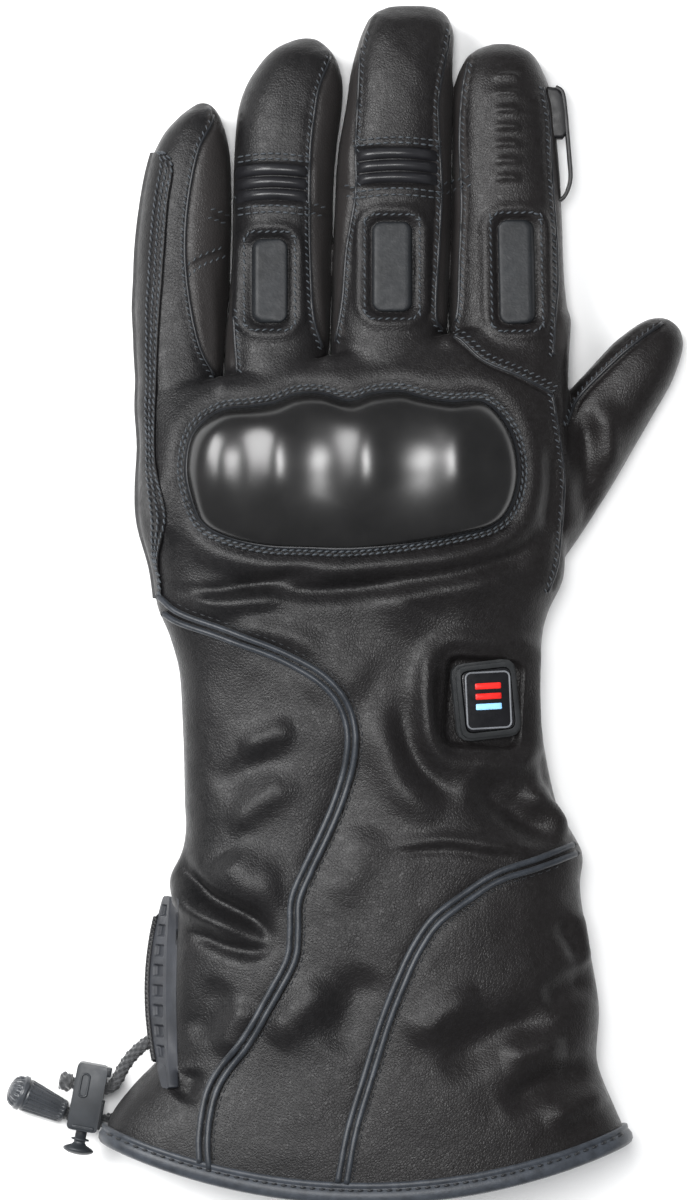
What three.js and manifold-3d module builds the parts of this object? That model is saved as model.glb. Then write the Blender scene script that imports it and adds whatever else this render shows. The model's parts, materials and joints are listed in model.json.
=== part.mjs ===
// Heated gauntlet glove for a right hand, back up and fingers forward, lying on its palm.
// Millimetres. +X is the thumb side, +Y runs from the cuff to the fingertips, +Z is up.
// The origin is on the surface that the glove lies on, under the middle of the palm.
import * as THREE from "three";
import { mergeVertices } from "three/addons/utils/BufferGeometryUtils.js";
import Module from "manifold-3d";

const wasm = await Module();
wasm.setup();

// Hand and cuff
const PALM_WIDTH = 123;
const PALM_LENGTH = 90; // wrist to the knuckle line
const HAND_HEIGHT = 39;
const CUFF_WIDTH = 149.6; // across the hem
const CUFF_LENGTH = 150.5; // wrist to the hem
const CUFF_HEIGHT = 45;
const WRIST_Y = -36.5;
const PADDED_WALL = 3; // leather over wadding
const PIECE_GAP = 0.3; // between two pieces that touch
const KNUCKLE_SLOPE = 0.19; // rise of the knuckle line towards the index finger
const SIDE_SEAM_SHARE = 0.38; // height of the side seam, as a share of the hand's height

// Digits. root is the middle of the digit on the knuckle line, as a share of the palm's width.
// blunt is how much further than the others' its full width runs towards the tip.
const LITTLE = { length: 82.5, width: 25.4, height: 23, root: -0.422, tipShift: 7.2, blunt: 0 };
const RING = { length: 95.4, width: 29.5, height: 26, root: -0.198, tipShift: 8.2, blunt: 0.02 };
const MIDDLE = { length: 97.9, width: 33, height: 27, root: 0.064, tipShift: 6.5, blunt: 0.03 };
const INDEX = { length: 80.8, width: 33.5, height: 26, root: 0.344, tipShift: -2.5, blunt: 0 };
const THUMB = { length: 73, width: 29, height: 23 };
const THUMB_ROOT = { x: 0.375, y: 0.448 }; // shares of the palm's width and length
const THUMB_SPREAD = 36.6; // degrees between the thumb and the hand's long axis
const ROOT_DEPTH = 26; // how far a finger's hollow runs back into the palm

// Hard knuckle guard and its stitched leather frame
const GUARD_WIDTH = 94;
const GUARD_DEPTH = 44;
const GUARD_RISE = 10.5;
const GUARD_KNUCKLES = 4;
const GUARD_FRAME_WIDTH = 3.8;
const GUARD_AT = { x: -0.019, y: 0.621 }; // shares of the palm's width and length

// Raised pads on the fingers, and the ribbed flex panels
const PAD_RISE = 2.4;
const FRAME_RISE = 0.9; // a flat strip of leather
const RING_PAD = { width: 10.3, length: 23.9, at: 0.259, aside: -1.8 };
const MIDDLE_PAD = { width: 11.4, length: 25.6, at: 0.231, aside: 0.9 };
const INDEX_PAD = { width: 10.3, length: 29.3, at: 0.18, aside: 2.5 };
const INDEX_PAD_CHAMFER = 6;
const RIB_COUNT = 3;
const RIB_RISE = 2;
const RIB_LENGTH = 10.6; // along the finger, all ribs together
const RING_RIBS = { width: 21.7, at: 0.55, aside: -3.5 };
const MIDDLE_RIBS = { width: 23.9, at: 0.522, aside: 0.9 };

// Trim of the cuff
const PIPING_RADIUS = 0.95;
const HEM_WIDTH = 5.6;
const HEM_THICK = 1.3;
const SIDE_BAND_WIDTH = 3.8;
const SIDE_BAND_RISE = 1.2;
const TAB_LENGTH = 54;
const TAB_HEIGHT = 10;
const TAB_THICK = 2.6;
const TAB_SLOPE = 48; // degrees that its face falls outwards
const TAB_AT = { x: -0.339, y: -0.613 }; // its upper edge
const TAB_SLOTS = 7;

// Heat control
const CONTROL = { width: 19, length: 22, height: 5 };
const CONTROL_AT = { x: 0.236, y: -0.059 };
const CONTROL_CORNER = 3.8;
const CONTROL_TILT = 17; // degrees towards the thumb side
const CONTROL_TURN = 6; // degrees in its own plane
const BUTTON = { width: 14.4, length: 17.2, thick: 1.6 };
const BUTTON_TRAVEL = 0.8;
const BUTTON_CORNER = 2;

// Visor wiper on the index finger
const WIPER = { length: 33, height: 3.6, thick: 1.2 };
const WIPER_AT = 0.647;

// Drawcord with its lock and end bell
const CORD_RADIUS = 1.7;
const LOCK = { width: 8.8, length: 19.2, depth: 10 };
const LOCK_AT = { x: -77.8, y: -159.2 };
const LOCK_TURN = -10.5; // degrees
const LOCK_SLOT_UP = 3.2; // from the middle of the lock to the cord
const LOCK_SLOT_LENGTH = 6.6;
const PLUNGER_RADIUS = 3.2;
const PLUNGER_NECK_RADIUS = 1.6;
const PLUNGER_NECK_SHOWN = 4.2;
const PLUNGER_CAP_RADIUS = 4.4;
const PLUNGER_CAP_HEIGHT = 3.2;
const PLUNGER_TRAVEL = 2.2;
const LOCK_FLOOR = 2.2; // wall round the plunger's neck
const KNOT = { radius: 2.6, length: 4 };
const BELL = { length: 17.5, narrow: 3.3, wide: 5.2, bore: 11 };
const BELL_TURN = 25; // degrees between the bell and the negative X axis
const BELL_AT = { x: -84.8, y: -164 }; // the middle of its narrow end

// Sections of the hand, from the wrist (0) to the knuckle line (1).
// left and right are shares of the palm's width, top of the hand's height.
const PALM_SECTIONS = [
  { at: 0.0, left: -0.42, right: 0.419, top: 0.98 },
  { at: 0.12, left: -0.445, right: 0.424, top: 0.98 },
  { at: 0.2, left: -0.471, right: 0.442, top: 0.99 },
  { at: 0.28, left: -0.477, right: 0.471, top: 1.0 },
  { at: 0.36, left: -0.489, right: 0.476, top: 1.0 },
  { at: 0.44, left: -0.507, right: 0.48, top: 1.0 },
  { at: 0.55, left: -0.517, right: 0.493, top: 1.0 },
  { at: 0.71, left: -0.512, right: 0.482, top: 0.95 },
  { at: 0.86, left: -0.511, right: 0.484, top: 0.84 },
  { at: 1.0, left: -0.52, right: 0.492, top: 0.72 },
];

// Sections of the cuff, from the hem (-1) to the wrist (0). Shares of the cuff's width and height.
// bow is how far the corners of the hem curve forward, as a share of the cuff's width.
const CUFF_SECTIONS = [
  { at: -1.0, left: -0.489, right: 0.511, top: 1.0, base: 0.045, bow: 0.105 },
  { at: -0.934, left: -0.472, right: 0.49, top: 1.0, base: 0.035, bow: 0.094 },
  { at: -0.857, left: -0.425, right: 0.464, top: 0.99, base: 0.01, bow: 0.077 },
  { at: -0.794, left: -0.38, right: 0.45, top: 0.98, base: 0, bow: 0.06 },
  { at: -0.726, left: -0.37, right: 0.453, top: 0.97, base: 0, bow: 0.04 },
  { at: -0.665, left: -0.37, right: 0.455, top: 0.97, base: 0, bow: 0.027 },
  { at: -0.557, left: -0.362, right: 0.44, top: 0.96, base: 0, bow: 0.013 },
  { at: -0.453, left: -0.356, right: 0.423, top: 0.94, base: 0, bow: 0.005 },
  { at: -0.4, left: -0.364, right: 0.419, top: 0.93, base: 0, bow: 0 },
  { at: -0.354, left: -0.341, right: 0.425, top: 0.92, base: 0, bow: 0 },
  { at: -0.307, left: -0.332, right: 0.4, top: 0.9, base: 0, bow: 0 },
  { at: -0.259, left: -0.334, right: 0.374, top: 0.89, base: 0, bow: 0 },
  { at: -0.165, left: -0.336, right: 0.354, top: 0.87, base: 0, bow: 0 },
  { at: -0.094, left: -0.339, right: 0.345, top: 0.86, base: 0, bow: 0 },
];

// Sections of a finger, from the knuckle line (0) to the tip (1), and back into the palm.
const FINGER_SECTIONS = [
  { at: -0.3, wide: 0.9, top: 1.12, base: 0 },
  { at: 0.0, wide: 1.0, top: 1.1, base: 0 },
  { at: 0.25, wide: 1.0, top: 1.0, base: 0 },
  { at: 0.55, wide: 0.97, top: 0.97, base: 0 },
  { at: 0.72, wide: 0.93, top: 0.94, base: 0 },
  { at: 0.83, wide: 0.86, top: 0.9, base: 0.01 },
  { at: 0.91, wide: 0.75, top: 0.83, base: 0.05 },
  { at: 0.965, wide: 0.57, top: 0.74, base: 0.14 },
  { at: 1.0, wide: 0.3, top: 0.58, base: 0.32 },
];

const THUMB_SECTIONS = [
  { at: -0.16, wide: 1.05, top: 1.12, base: 0 },
  { at: 0.1, wide: 1.04, top: 1.1, base: 0 },
  { at: 0.35, wide: 0.95, top: 1.0, base: 0 },
  { at: 0.6, wide: 0.81, top: 0.92, base: 0 },
  { at: 0.8, wide: 0.7, top: 0.86, base: 0.01 },
  { at: 0.91, wide: 0.56, top: 0.79, base: 0.07 },
  { at: 0.97, wide: 0.42, top: 0.7, base: 0.16 },
  { at: 1.0, wide: 0.25, top: 0.56, base: 0.3 },
];

// Main folds (rise above 0) and dents of the leather on the back. x is a share of the cuff's width,
// y of the cuff's length from the wrist; long and wide are shares of the cuff's width.
const FOLDS = [
  { x: -0.35, y: -0.39, turn: -32, long: 0.1, wide: 0.024, rise: 0.07 },
  { x: -0.28, y: -0.43, turn: -36, long: 0.12, wide: 0.022, rise: -0.11 },
  { x: -0.2, y: -0.52, turn: -40, long: 0.1, wide: 0.03, rise: 0.04 },
  { x: 0.02, y: -0.28, turn: 40, long: 0.1, wide: 0.03, rise: 0.04 },
  { x: 0.27, y: -0.22, turn: -40, long: 0.14, wide: 0.03, rise: -0.07 },
  { x: 0.35, y: -0.26, turn: -50, long: 0.1, wide: 0.026, rise: 0.07 },
  { x: 0.37, y: -0.66, turn: -10, long: 0.12, wide: 0.03, rise: -0.07 },
  { x: 0.37, y: -0.76, turn: 25, long: 0.12, wide: 0.028, rise: 0.04 },
  { x: -0.24, y: 0.17, turn: -5, long: 0.14, wide: 0.022, rise: -0.05 },
];

// Routes of the piping on the cuff, as shares of the cuff's width and of its length from the wrist.
const OUTER_PIPING = [
  [-0.372, 0.12], [-0.34, 0.098], [-0.269, 0.07], [-0.175, 0.036], [-0.118, 0.01],
  [-0.07, -0.021], [-0.036, -0.059], [-0.017, -0.113], [-0.019, -0.17], [-0.036, -0.235],
  [-0.063, -0.301], [-0.099, -0.377], [-0.122, -0.434], [-0.124, -0.49], [-0.13, -0.543],
  [-0.162, -0.608], [-0.213, -0.695], [-0.267, -0.769], [-0.288, -0.826], [-0.295, -0.89],
  [-0.29, -0.96],
];
const INNER_PIPING = [
  [0.392, -0.346], [0.331, -0.367], [0.261, -0.39], [0.206, -0.424], [0.145, -0.47],
  [0.107, -0.523], [0.078, -0.583], [0.046, -0.666], [0.013, -0.769], [-0.015, -0.863],
  [-0.034, -0.965],
];
// Edge of the side panel, from the little finger's tip to the wrist. Shares of the palm's width and length.
const SIDE_BAND = [
  [-0.44, 1.577], [-0.452, 1.501], [-0.461, 1.387], [-0.468, 1.248], [-0.477, 1.08],
  [-0.482, 0.912], [-0.486, 0.672], [-0.468, 0.551], [-0.454, 0.469], [-0.463, 0.383],
];

// Routes of the drawcord's two ends
const CORD_THROUGH_LOCK = [
  [-52.5, -138.6, 16.5], [-56.5, -140.6, 16.4], [-60.5, -143.1, 16], [-64.4, -146.4, 15],
  [-67.3, -150.2, 13.6], [-69.3, -154, 12], [-71.4, -156.4, 10.95], [-74.5, -156.55, 10.7],
  [-77.22, -156.05, 10.7], [-79.9, -155.55, 10.7], [-84.3, -154.74, 10.7],
];
const CORD_TO_BELL = [
  [-54, -158.6, 9], [-58, -160.6, 7.4], [-62, -162.6, 5.4], [-66, -164.4, 3.7],
  [-70, -165.8, 2.4], [-74, -166.5, 1.9], [-78, -166.4, 2.2], [-82.1, -165.26, 2.95],
  [-84.8, -164, 3.4], [-87.5, -162.74, 3.84], [-93, -160.18, 4.73],
];
const CORD_HEIGHT = 10.7; // where the cord runs through the lock

// Mesh fineness
const BODY_POINTS = 24;
const DIGIT_POINTS = { outside: 12, hollow: 10 };
const CORD_POINTS = 8;
const LONGEST_FACET = { outside: 12.5, hollow: 21 };
const OVERCUT = 40; // how far a cutter reaches past what it cuts

const rad = THREE.MathUtils.degToRad;

const leather = new THREE.MeshStandardMaterial({ color: 0x232324, roughness: 0.55, metalness: 0 });
const trimLeather = new THREE.MeshStandardMaterial({ color: 0x2c2f33, roughness: 0.5, metalness: 0 });
const guardPlastic = new THREE.MeshStandardMaterial({ color: 0x18181a, roughness: 0.3, metalness: 0 });
const greyRubber = new THREE.MeshStandardMaterial({ color: 0x585c66, roughness: 0.6, metalness: 0 });
const blackRubber = new THREE.MeshStandardMaterial({ color: 0x141416, roughness: 0.45, metalness: 0 });
const lockPlastic = new THREE.MeshStandardMaterial({ color: 0x3c3f44, roughness: 0.45, metalness: 0 });
const cordFabric = new THREE.MeshStandardMaterial({ color: 0x1c1c1e, roughness: 0.9, metalness: 0 });

// A closed mesh as a solid for joining and cutting.
function solid(geometry) {
  const bare = (geometry.index ? geometry.toNonIndexed() : geometry.clone());
  for (const name of Object.keys(bare.attributes)) {
    if (name !== "position") bare.deleteAttribute(name);
  }
  const merged = mergeVertices(bare, 1e-4);
  return new wasm.Manifold(
    new wasm.Mesh({
      numProp: 3,
      vertProperties: merged.attributes.position.array,
      triVerts: new Uint32Array(merged.index.array),
    }),
  );
}

function geometryOf(made) {
  const mesh = made.getMesh();
  const geometry = new THREE.BufferGeometry();
  geometry.setAttribute("position", new THREE.BufferAttribute(mesh.vertProperties, 3));
  geometry.setIndex(new THREE.BufferAttribute(mesh.triVerts, 1));
  geometry.computeVertexNormals();
  return geometry;
}

// Smooth interpolation between the rows of a section table.
function rowAt(rows, at) {
  const last = rows.length - 1;
  const i = THREE.MathUtils.clamp(rows.findIndex((row) => row.at > at) - 1, 0, last - 1);
  const k = at >= rows[last].at ? last - 1 : i;
  const share = (at - rows[k].at) / (rows[k + 1].at - rows[k].at);
  const made = {};
  for (const key of Object.keys(rows[k])) {
    const [before, from, to, after] = [k - 1, k, k + 1, k + 2].map(
      (n) => rows[THREE.MathUtils.clamp(n, 0, last)][key],
    );
    const bend = (to - before) / 2;
    const bendNext = (after - from) / 2;
    const s2 = share * share;
    const s3 = s2 * share;
    made[key] =
      (2 * s3 - 3 * s2 + 1) * from + (s3 - 2 * s2 + share) * bend +
      (3 * s2 - 2 * s3) * to + (s3 - s2) * bendNext;
  }
  return made;
}

// One closed outline across a digit or the hand: rounded above, flattened below where it lies.
// Returns [sideways, height] pairs for a half width, a top and a base, grown by offset.
function outline(half, top, base, offset, count, roundness = OVAL) {
  const WIDEST_SHARE = 0.45;
  const FLATTENED = 0.3;
  const widest = base + (top - base) * WIDEST_SHARE;
  const points = [];
  for (let k = 0; k < count; k += 1) {
    const angle = (2 * Math.PI * k) / count;
    const across = Math.sign(Math.cos(angle)) * Math.abs(Math.cos(angle)) ** roundness;
    const up = Math.sign(Math.sin(angle)) * Math.abs(Math.sin(angle)) ** roundness;
    const above = widest + (top - widest + offset) * up;
    const below = widest + ((widest - base) * (1 + FLATTENED) + offset) * up;
    points.push([(half + offset) * across, up >= 0 ? above : Math.max(below, base - offset), up]);
  }
  return points;
}

// A closed surface through rings of points, with a flat cap at each end.
function loft(rings) {
  const count = rings[0].length;
  const positions = rings.flat().flatMap((p) => [p.x, p.y, p.z]);
  const middle = (ring) =>
    ring.reduce((sum, p) => sum.add(p), new THREE.Vector3()).divideScalar(ring.length);
  const indices = [];
  for (let i = 0; i + 1 < rings.length; i += 1) {
    for (let k = 0; k < count; k += 1) {
      const a = i * count + k;
      const b = i * count + ((k + 1) % count);
      indices.push(a, a + count, b, b, a + count, b + count);
    }
  }
  const first = positions.length / 3;
  for (const end of [middle(rings[0]), middle(rings[rings.length - 1])]) {
    positions.push(end.x, end.y, end.z);
  }
  const lastRing = (rings.length - 1) * count;
  for (let k = 0; k < count; k += 1) {
    const next = (k + 1) % count;
    indices.push(first, k, next, first + 1, lastRing + next, lastRing + k);
  }
  const geometry = new THREE.BufferGeometry();
  geometry.setAttribute("position", new THREE.Float32BufferAttribute(positions, 3));
  geometry.setIndex(indices);
  return geometry;
}

// A closed surface through rings of points that end where they begin.
function hoop(rings) {
  const count = rings[0].length;
  const indices = [];
  for (let i = 0; i < rings.length; i += 1) {
    const next = (i + 1) % rings.length;
    for (let k = 0; k < count; k += 1) {
      const on = (k + 1) % count;
      const [a, b, c, d] = [i * count + k, i * count + on, next * count + k, next * count + on];
      indices.push(a, c, b, b, c, d);
    }
  }
  const geometry = new THREE.BufferGeometry();
  const positions = rings.flat().flatMap((p) => [p.x, p.y, p.z]);
  geometry.setAttribute("position", new THREE.Float32BufferAttribute(positions, 3));
  geometry.setIndex(indices);
  return geometry;
}

// The height that the folds and dents add at a place on the back.
function foldHeight(x, y) {
  return FOLDS.reduce((sum, fold) => {
    const dx = x - fold.x * CUFF_WIDTH;
    const dy = y - (WRIST_Y + fold.y * CUFF_LENGTH);
    const turn = rad(fold.turn);
    const along = (dx * Math.cos(turn) + dy * Math.sin(turn)) / (fold.long * CUFF_WIDTH);
    const across = (dy * Math.cos(turn) - dx * Math.sin(turn)) / (fold.wide * CUFF_WIDTH);
    return sum + fold.rise * CUFF_HEIGHT * Math.exp(-(along ** 2) - across ** 2);
  }, 0);
}

// How round an outline is: 1 is an ellipse, less is boxier.
const OVAL = 0.84;
const BOXY = 0.5;

// All sections of the hand and cuff as lengths, in order along Y.
const BODY_SECTIONS = [
  ...CUFF_SECTIONS.map((row) => ({
    at: WRIST_Y + row.at * CUFF_LENGTH,
    left: row.left * CUFF_WIDTH,
    right: row.right * CUFF_WIDTH,
    top: row.top * CUFF_HEIGHT,
    base: row.base * CUFF_HEIGHT,
    bow: row.bow * CUFF_WIDTH,
    slope: 0,
    roundness: OVAL,
  })),
  ...PALM_SECTIONS.map((row) => ({
    at: WRIST_Y + row.at * PALM_LENGTH,
    left: row.left * PALM_WIDTH,
    right: row.right * PALM_WIDTH,
    top: row.top * HAND_HEIGHT,
    base: 0,
    bow: 0,
    slope: KNUCKLE_SLOPE * THREE.MathUtils.smoothstep(row.at, 0.3, 1),
    roundness: THREE.MathUtils.lerp(OVAL, BOXY, THREE.MathUtils.smoothstep(row.at, 0.4, 1)),
  })),
];
const HEM_Y = WRIST_Y - CUFF_LENGTH;
const KNUCKLE_Y = WRIST_Y + PALM_LENGTH;

function bodyRing(row, y, offset) {
  const centre = (row.left + row.right) / 2;
  const half = (row.right - row.left) / 2;
  const ring = outline(half, row.top, row.base, offset, BODY_POINTS, row.roundness);
  return ring.map(([side, height, up]) => {
    const x = centre + side;
    const forward = row.slope * x + row.bow * (side / half) ** 2;
    const fold = foldHeight(x, y + forward) * Math.max(up, 0);
    return new THREE.Vector3(x, y + forward, height + fold);
  });
}

// Where the rings of the hand and cuff are along Y: the binding ends on one of them.
function ringStations(longest) {
  const marks = [HEM_Y, HEM_Y + HEM_WIDTH, KNUCKLE_Y - PADDED_WALL, KNUCKLE_Y];
  return marks.slice(0, -1).flatMap((from, i) => {
    const steps = Math.ceil((marks[i + 1] - from) / longest);
    return Array.from({ length: steps }, (_, k) => from + ((marks[i + 1] - from) * k) / steps);
  }).concat(KNUCKLE_Y);
}

// The hand and cuff, grown by offset all round, with a ring at each station.
function bodySkin(offset, stations = ringStations(LONGEST_FACET.outside)) {
  const rings = stations.map((y) => {
    const inside = THREE.MathUtils.clamp(y, HEM_Y, KNUCKLE_Y);
    return bodyRing(rowAt(BODY_SECTIONS, inside), y, offset);
  });
  return solid(loft(rings));
}

const knuckleLine = (x) => KNUCKLE_Y + KNUCKLE_SLOPE * x;

function fingerCentre(finger, at) {
  const x = finger.root * PALM_WIDTH;
  const shift = finger.tipShift * Math.max(at, 0) ** 2;
  return new THREE.Vector2(x + shift, knuckleLine(x) + at * finger.length);
}

function fingerRing(finger, at, offset, count) {
  const row = rowAt(FINGER_SECTIONS, at);
  const centre = fingerCentre(finger, at);
  const reach = offset * THREE.MathUtils.smoothstep(at, 0.7, 1);
  const blunt = finger.blunt * THREE.MathUtils.smoothstep(at, 0.5, 0.8);
  const wide = rowAt(FINGER_SECTIONS, at - blunt).wide * finger.width;
  const half = Math.max(wide / 2, PIECE_GAP - offset);
  const top = row.top * finger.height;
  const base = row.base * finger.height;
  return outline(half, top, base, offset, count).map(
    ([side, height]) => new THREE.Vector3(centre.x + side, centre.y + reach, height),
  );
}

function fingerSkin(finger, offset, points = DIGIT_POINTS.outside) {
  const HOLLOW_STATIONS = [-ROOT_DEPTH / finger.length, 0, 0.55, 0.83, 0.965];
  const KNUCKLE_LAP = 3;
  const outside = [-KNUCKLE_LAP / finger.length, ...FINGER_SECTIONS.slice(1).map((row) => row.at)];
  const stations = offset < 0 ? HOLLOW_STATIONS : outside;
  return solid(loft(stations.map((at) => fingerRing(finger, at, offset, points))));
}

const thumbAxis = new THREE.Vector2(Math.sin(rad(THUMB_SPREAD)), Math.cos(rad(THUMB_SPREAD)));
const thumbRoot = new THREE.Vector2(
  THUMB_ROOT.x * PALM_WIDTH,
  WRIST_Y + THUMB_ROOT.y * PALM_LENGTH,
);

function thumbSkin(offset, points = DIGIT_POINTS.outside) {
  const HOLLOW_END = 0.97;
  const rows = offset < 0 ? THUMB_SECTIONS.filter((row) => row.at <= HOLLOW_END) : THUMB_SECTIONS;
  const rings = rows.map((row) => {
    const reach = row.at * THUMB.length + offset * THREE.MathUtils.smoothstep(row.at, 0.7, 1);
    const centre = thumbRoot.clone().addScaledVector(thumbAxis, reach);
    const half = Math.max((row.wide * THUMB.width) / 2, PIECE_GAP - offset);
    return outline(half, row.top * THUMB.height, row.base * THUMB.height, offset, points).map(
      ([side, height]) =>
        new THREE.Vector3(centre.x + side * thumbAxis.y, centre.y - side * thumbAxis.x, height),
    );
  });
  return solid(loft(rings));
}

// A box from its middle and its size, turned about Z by degrees.
function box(middle, size, turn = 0) {
  const geometry = new THREE.BoxGeometry(size.x, size.y, size.z);
  geometry.rotateZ(rad(turn));
  geometry.translate(middle.x, middle.y, middle.z);
  return solid(geometry);
}

// Everything in front of the knuckle line, moved forward by shift.
function beyondKnuckles(shift) {
  const reach = PALM_WIDTH + CUFF_WIDTH + MIDDLE.length;
  const turn = Math.atan(KNUCKLE_SLOPE);
  const geometry = new THREE.BoxGeometry(2 * reach, reach, reach);
  geometry.translate(0, reach / 2 + shift, 0);
  geometry.rotateZ(turn);
  geometry.translate(0, KNUCKLE_Y, 0);
  return solid(geometry);
}

// A flat strip along a route, between two heights.
function strip(route, width, low, high) {
  const sides = [1, -1].map((side) =>
    route.map((point, i) => {
      const before = route[Math.max(i - 1, 0)];
      const after = route[Math.min(i + 1, route.length - 1)];
      const along = after.clone().sub(before).normalize();
      return new THREE.Vector2(
        point.x - (side * along.y * width) / 2,
        point.y + (side * along.x * width) / 2,
      );
    }),
  );
  return prism([...sides[0], ...sides[1].reverse()], low, high);
}

function prism(points, low, high) {
  const geometry = new THREE.ExtrudeGeometry(new THREE.Shape(points), {
    depth: high - low,
    bevelEnabled: false,
  });
  geometry.translate(0, 0, low);
  return solid(geometry);
}

// A smooth route through chosen points.
function route(points, steps) {
  return new THREE.SplineCurve(points).getSpacedPoints(steps);
}

const cuffPoint = ([x, y]) => new THREE.Vector2(x * CUFF_WIDTH, WRIST_Y + y * CUFF_LENGTH);
const palmPoint = ([x, y]) => new THREE.Vector2(x * PALM_WIDTH, WRIST_Y + y * PALM_LENGTH);

const fingers = {
  little_finger: LITTLE,
  ring_finger: RING,
  middle_finger: MIDDLE,
  index_finger: INDEX,
};
const digits = Object.values(fingers);
const ceiling = HAND_HEIGHT + CUFF_HEIGHT;
const seamHeight = SIDE_SEAM_SHARE * HAND_HEIGHT;

// The outside of the whole glove, grown by offset: what the trim is cut to.
const skins = new Map();
function gloveSkin(offset) {
  if (!skins.has(offset)) {
    const made = digits.reduce((sum, finger) => sum.add(fingerSkin(finger, offset)), bodySkin(offset));
    skins.set(offset, made);
  }
  return skins.get(offset);
}

// A layer that lies on the upper half of the leather over a plan outline, rising by rise.
function layer(plan, rise) {
  const size = { x: 4 * CUFF_WIDTH, y: 4 * CUFF_LENGTH, z: 2 * seamHeight };
  const lower = box({ x: 0, y: 0, z: 0 }, size);
  return plan
    .subtract(lower)
    .intersect(gloveSkin(rise + PIECE_GAP))
    .subtract(gloveSkin(PIECE_GAP));
}

// The hollow for the wrist and palm, open at the hem and closed at the knuckles.
const hollowStations = [HEM_Y - OVERCUT, ...ringStations(LONGEST_FACET.hollow).slice(0, -1)];
const palmHollow = bodySkin(-PADDED_WALL, hollowStations);
const digitHollows = [
  ...digits.map((finger) => fingerSkin(finger, -PADDED_WALL, DIGIT_POINTS.hollow)),
  thumbSkin(-PADDED_WALL, DIGIT_POINTS.hollow),
];
const hollow = digitHollows.reduce((sum, made) => sum.add(made), palmHollow);

// Where the leather panels of the back meet: a slit under each piping.
const outerSeam = route(OUTER_PIPING.map(cuffPoint), 26);
const innerSeam = route(INNER_PIPING.map(cuffPoint), 17);

function extended(points, reach) {
  const first = points[0].clone().sub(points[1]).setLength(reach).add(points[0]);
  const end = points.length - 1;
  const last = points[end].clone().sub(points[end - 1]).setLength(reach).add(points[end]);
  return [first, ...points, last];
}

function bodyPanels() {
  const skin = gloveSkin(0).subtract(beyondKnuckles(-PIECE_GAP / 2));
  const shell = skin.subtract(hollow).subtract(thumbSkin(-PADDED_WALL + PIECE_GAP));
  const wide = 2 * (CUFF_WIDTH + CUFF_LENGTH);
  const above = box({ x: 0, y: 0, z: seamHeight + wide / 2 }, { x: wide, y: wide, z: wide });
  const below = box(
    { x: 0, y: 0, z: seamHeight - PIECE_GAP - wide / 2 },
    { x: wide, y: wide, z: wide },
  );
  const back = shell.intersect(above);
  const slit = (seam) => strip(extended(seam, OVERCUT), PIECE_GAP, 0, ceiling);
  const pieces = back.subtract(slit(outerSeam)).subtract(slit(innerSeam)).decompose();
  pieces.sort((a, b) => b.volume() - a.volume());
  const middleX = (made) => (made.boundingBox().min[0] + made.boundingBox().max[0]) / 2;
  const sides = pieces.slice(1, 3).sort((a, b) => middleX(a) - middleX(b));
  return {
    palm_panel: shell.intersect(below),
    back_panel: pieces[0],
    outer_cuff_panel: sides[0],
    inner_cuff_panel: sides[1],
  };
}

// Each finger is a sleeve of its own from the knuckle line on.
function fingerSleeves() {
  const front = beyondKnuckles(PIECE_GAP / 2);
  return Object.entries(fingers).map(([name, finger], i) => {
    const sleeve = fingerSkin(finger, 0).subtract(digitHollows[i]).intersect(front);
    const next = digits[i + 1];
    return [name, next ? sleeve.subtract(fingerSkin(next, PIECE_GAP)) : sleeve];
  });
}

function thumbSleeve() {
  return thumbSkin(0)
    .subtract(digitHollows[digits.length])
    .subtract(gloveSkin(PIECE_GAP))
    .decompose()
    .sort((a, b) => b.volume() - a.volume())[0];
}

// The guard's outline: a long rounded shape whose front edge waves over the knuckles.
function guardOutline(grow, count = 28) {
  const centre = palmPoint([GUARD_AT.x, GUARD_AT.y]);
  const SQUARENESS = 0.55;
  const WAVE = 0.035;
  const points = [];
  for (let k = 0; k < count; k += 1) {
    const angle = (2 * Math.PI * k) / count;
    const across = Math.sign(Math.cos(angle)) * Math.abs(Math.cos(angle)) ** SQUARENESS;
    const along = Math.sign(Math.sin(angle)) * Math.abs(Math.sin(angle)) ** SQUARENESS;
    const wave = Math.max(along, 0) * Math.cos(across * Math.PI * (GUARD_KNUCKLES - 1));
    points.push(
      new THREE.Vector2(
        centre.x + (GUARD_WIDTH / 2 + grow) * across,
        centre.y + (GUARD_DEPTH / 2 + grow) * along - WAVE * GUARD_DEPTH * wave,
      ),
    );
  }
  return points;
}

// The hard shell: rings of the outline that draw in as they rise, with a crest over each knuckle.
function knuckleGuard() {
  const centre = palmPoint([GUARD_AT.x, GUARD_AT.y]);
  const RIDGE_FORWARD = 0.12;
  const CREST_RISE = 0.16;
  const LEVELS = [
    { inset: 0, rise: -2 },
    { inset: 0, rise: 0.12 },
    { inset: 0.07, rise: 0.46 },
    { inset: 0.2, rise: 0.74 },
    { inset: 0.42, rise: 0.92 },
    { inset: 0.72, rise: 1.0 },
  ];
  const edge = guardOutline(0).reverse();
  const rings = LEVELS.map(({ inset, rise }) =>
    edge.map((point) => {
      const x = THREE.MathUtils.lerp(point.x, centre.x + (point.x - centre.x) * 0.25, inset);
      const y = THREE.MathUtils.lerp(point.y, centre.y + RIDGE_FORWARD * GUARD_DEPTH, inset);
      const across = (x - centre.x) / (GUARD_WIDTH / 2);
      const crest = -Math.cos(across * Math.PI * (GUARD_KNUCKLES - 1)) * CREST_RISE * inset;
      const lift = Math.max(rise + crest * Math.min(rise, 1), rise < 0 ? rise : 0);
      return new THREE.Vector3(x, y, HAND_HEIGHT * guardSeat(y) + GUARD_RISE * lift);
    }),
  );
  return solid(loft(rings)).subtract(gloveSkin(PIECE_GAP));
}

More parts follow.
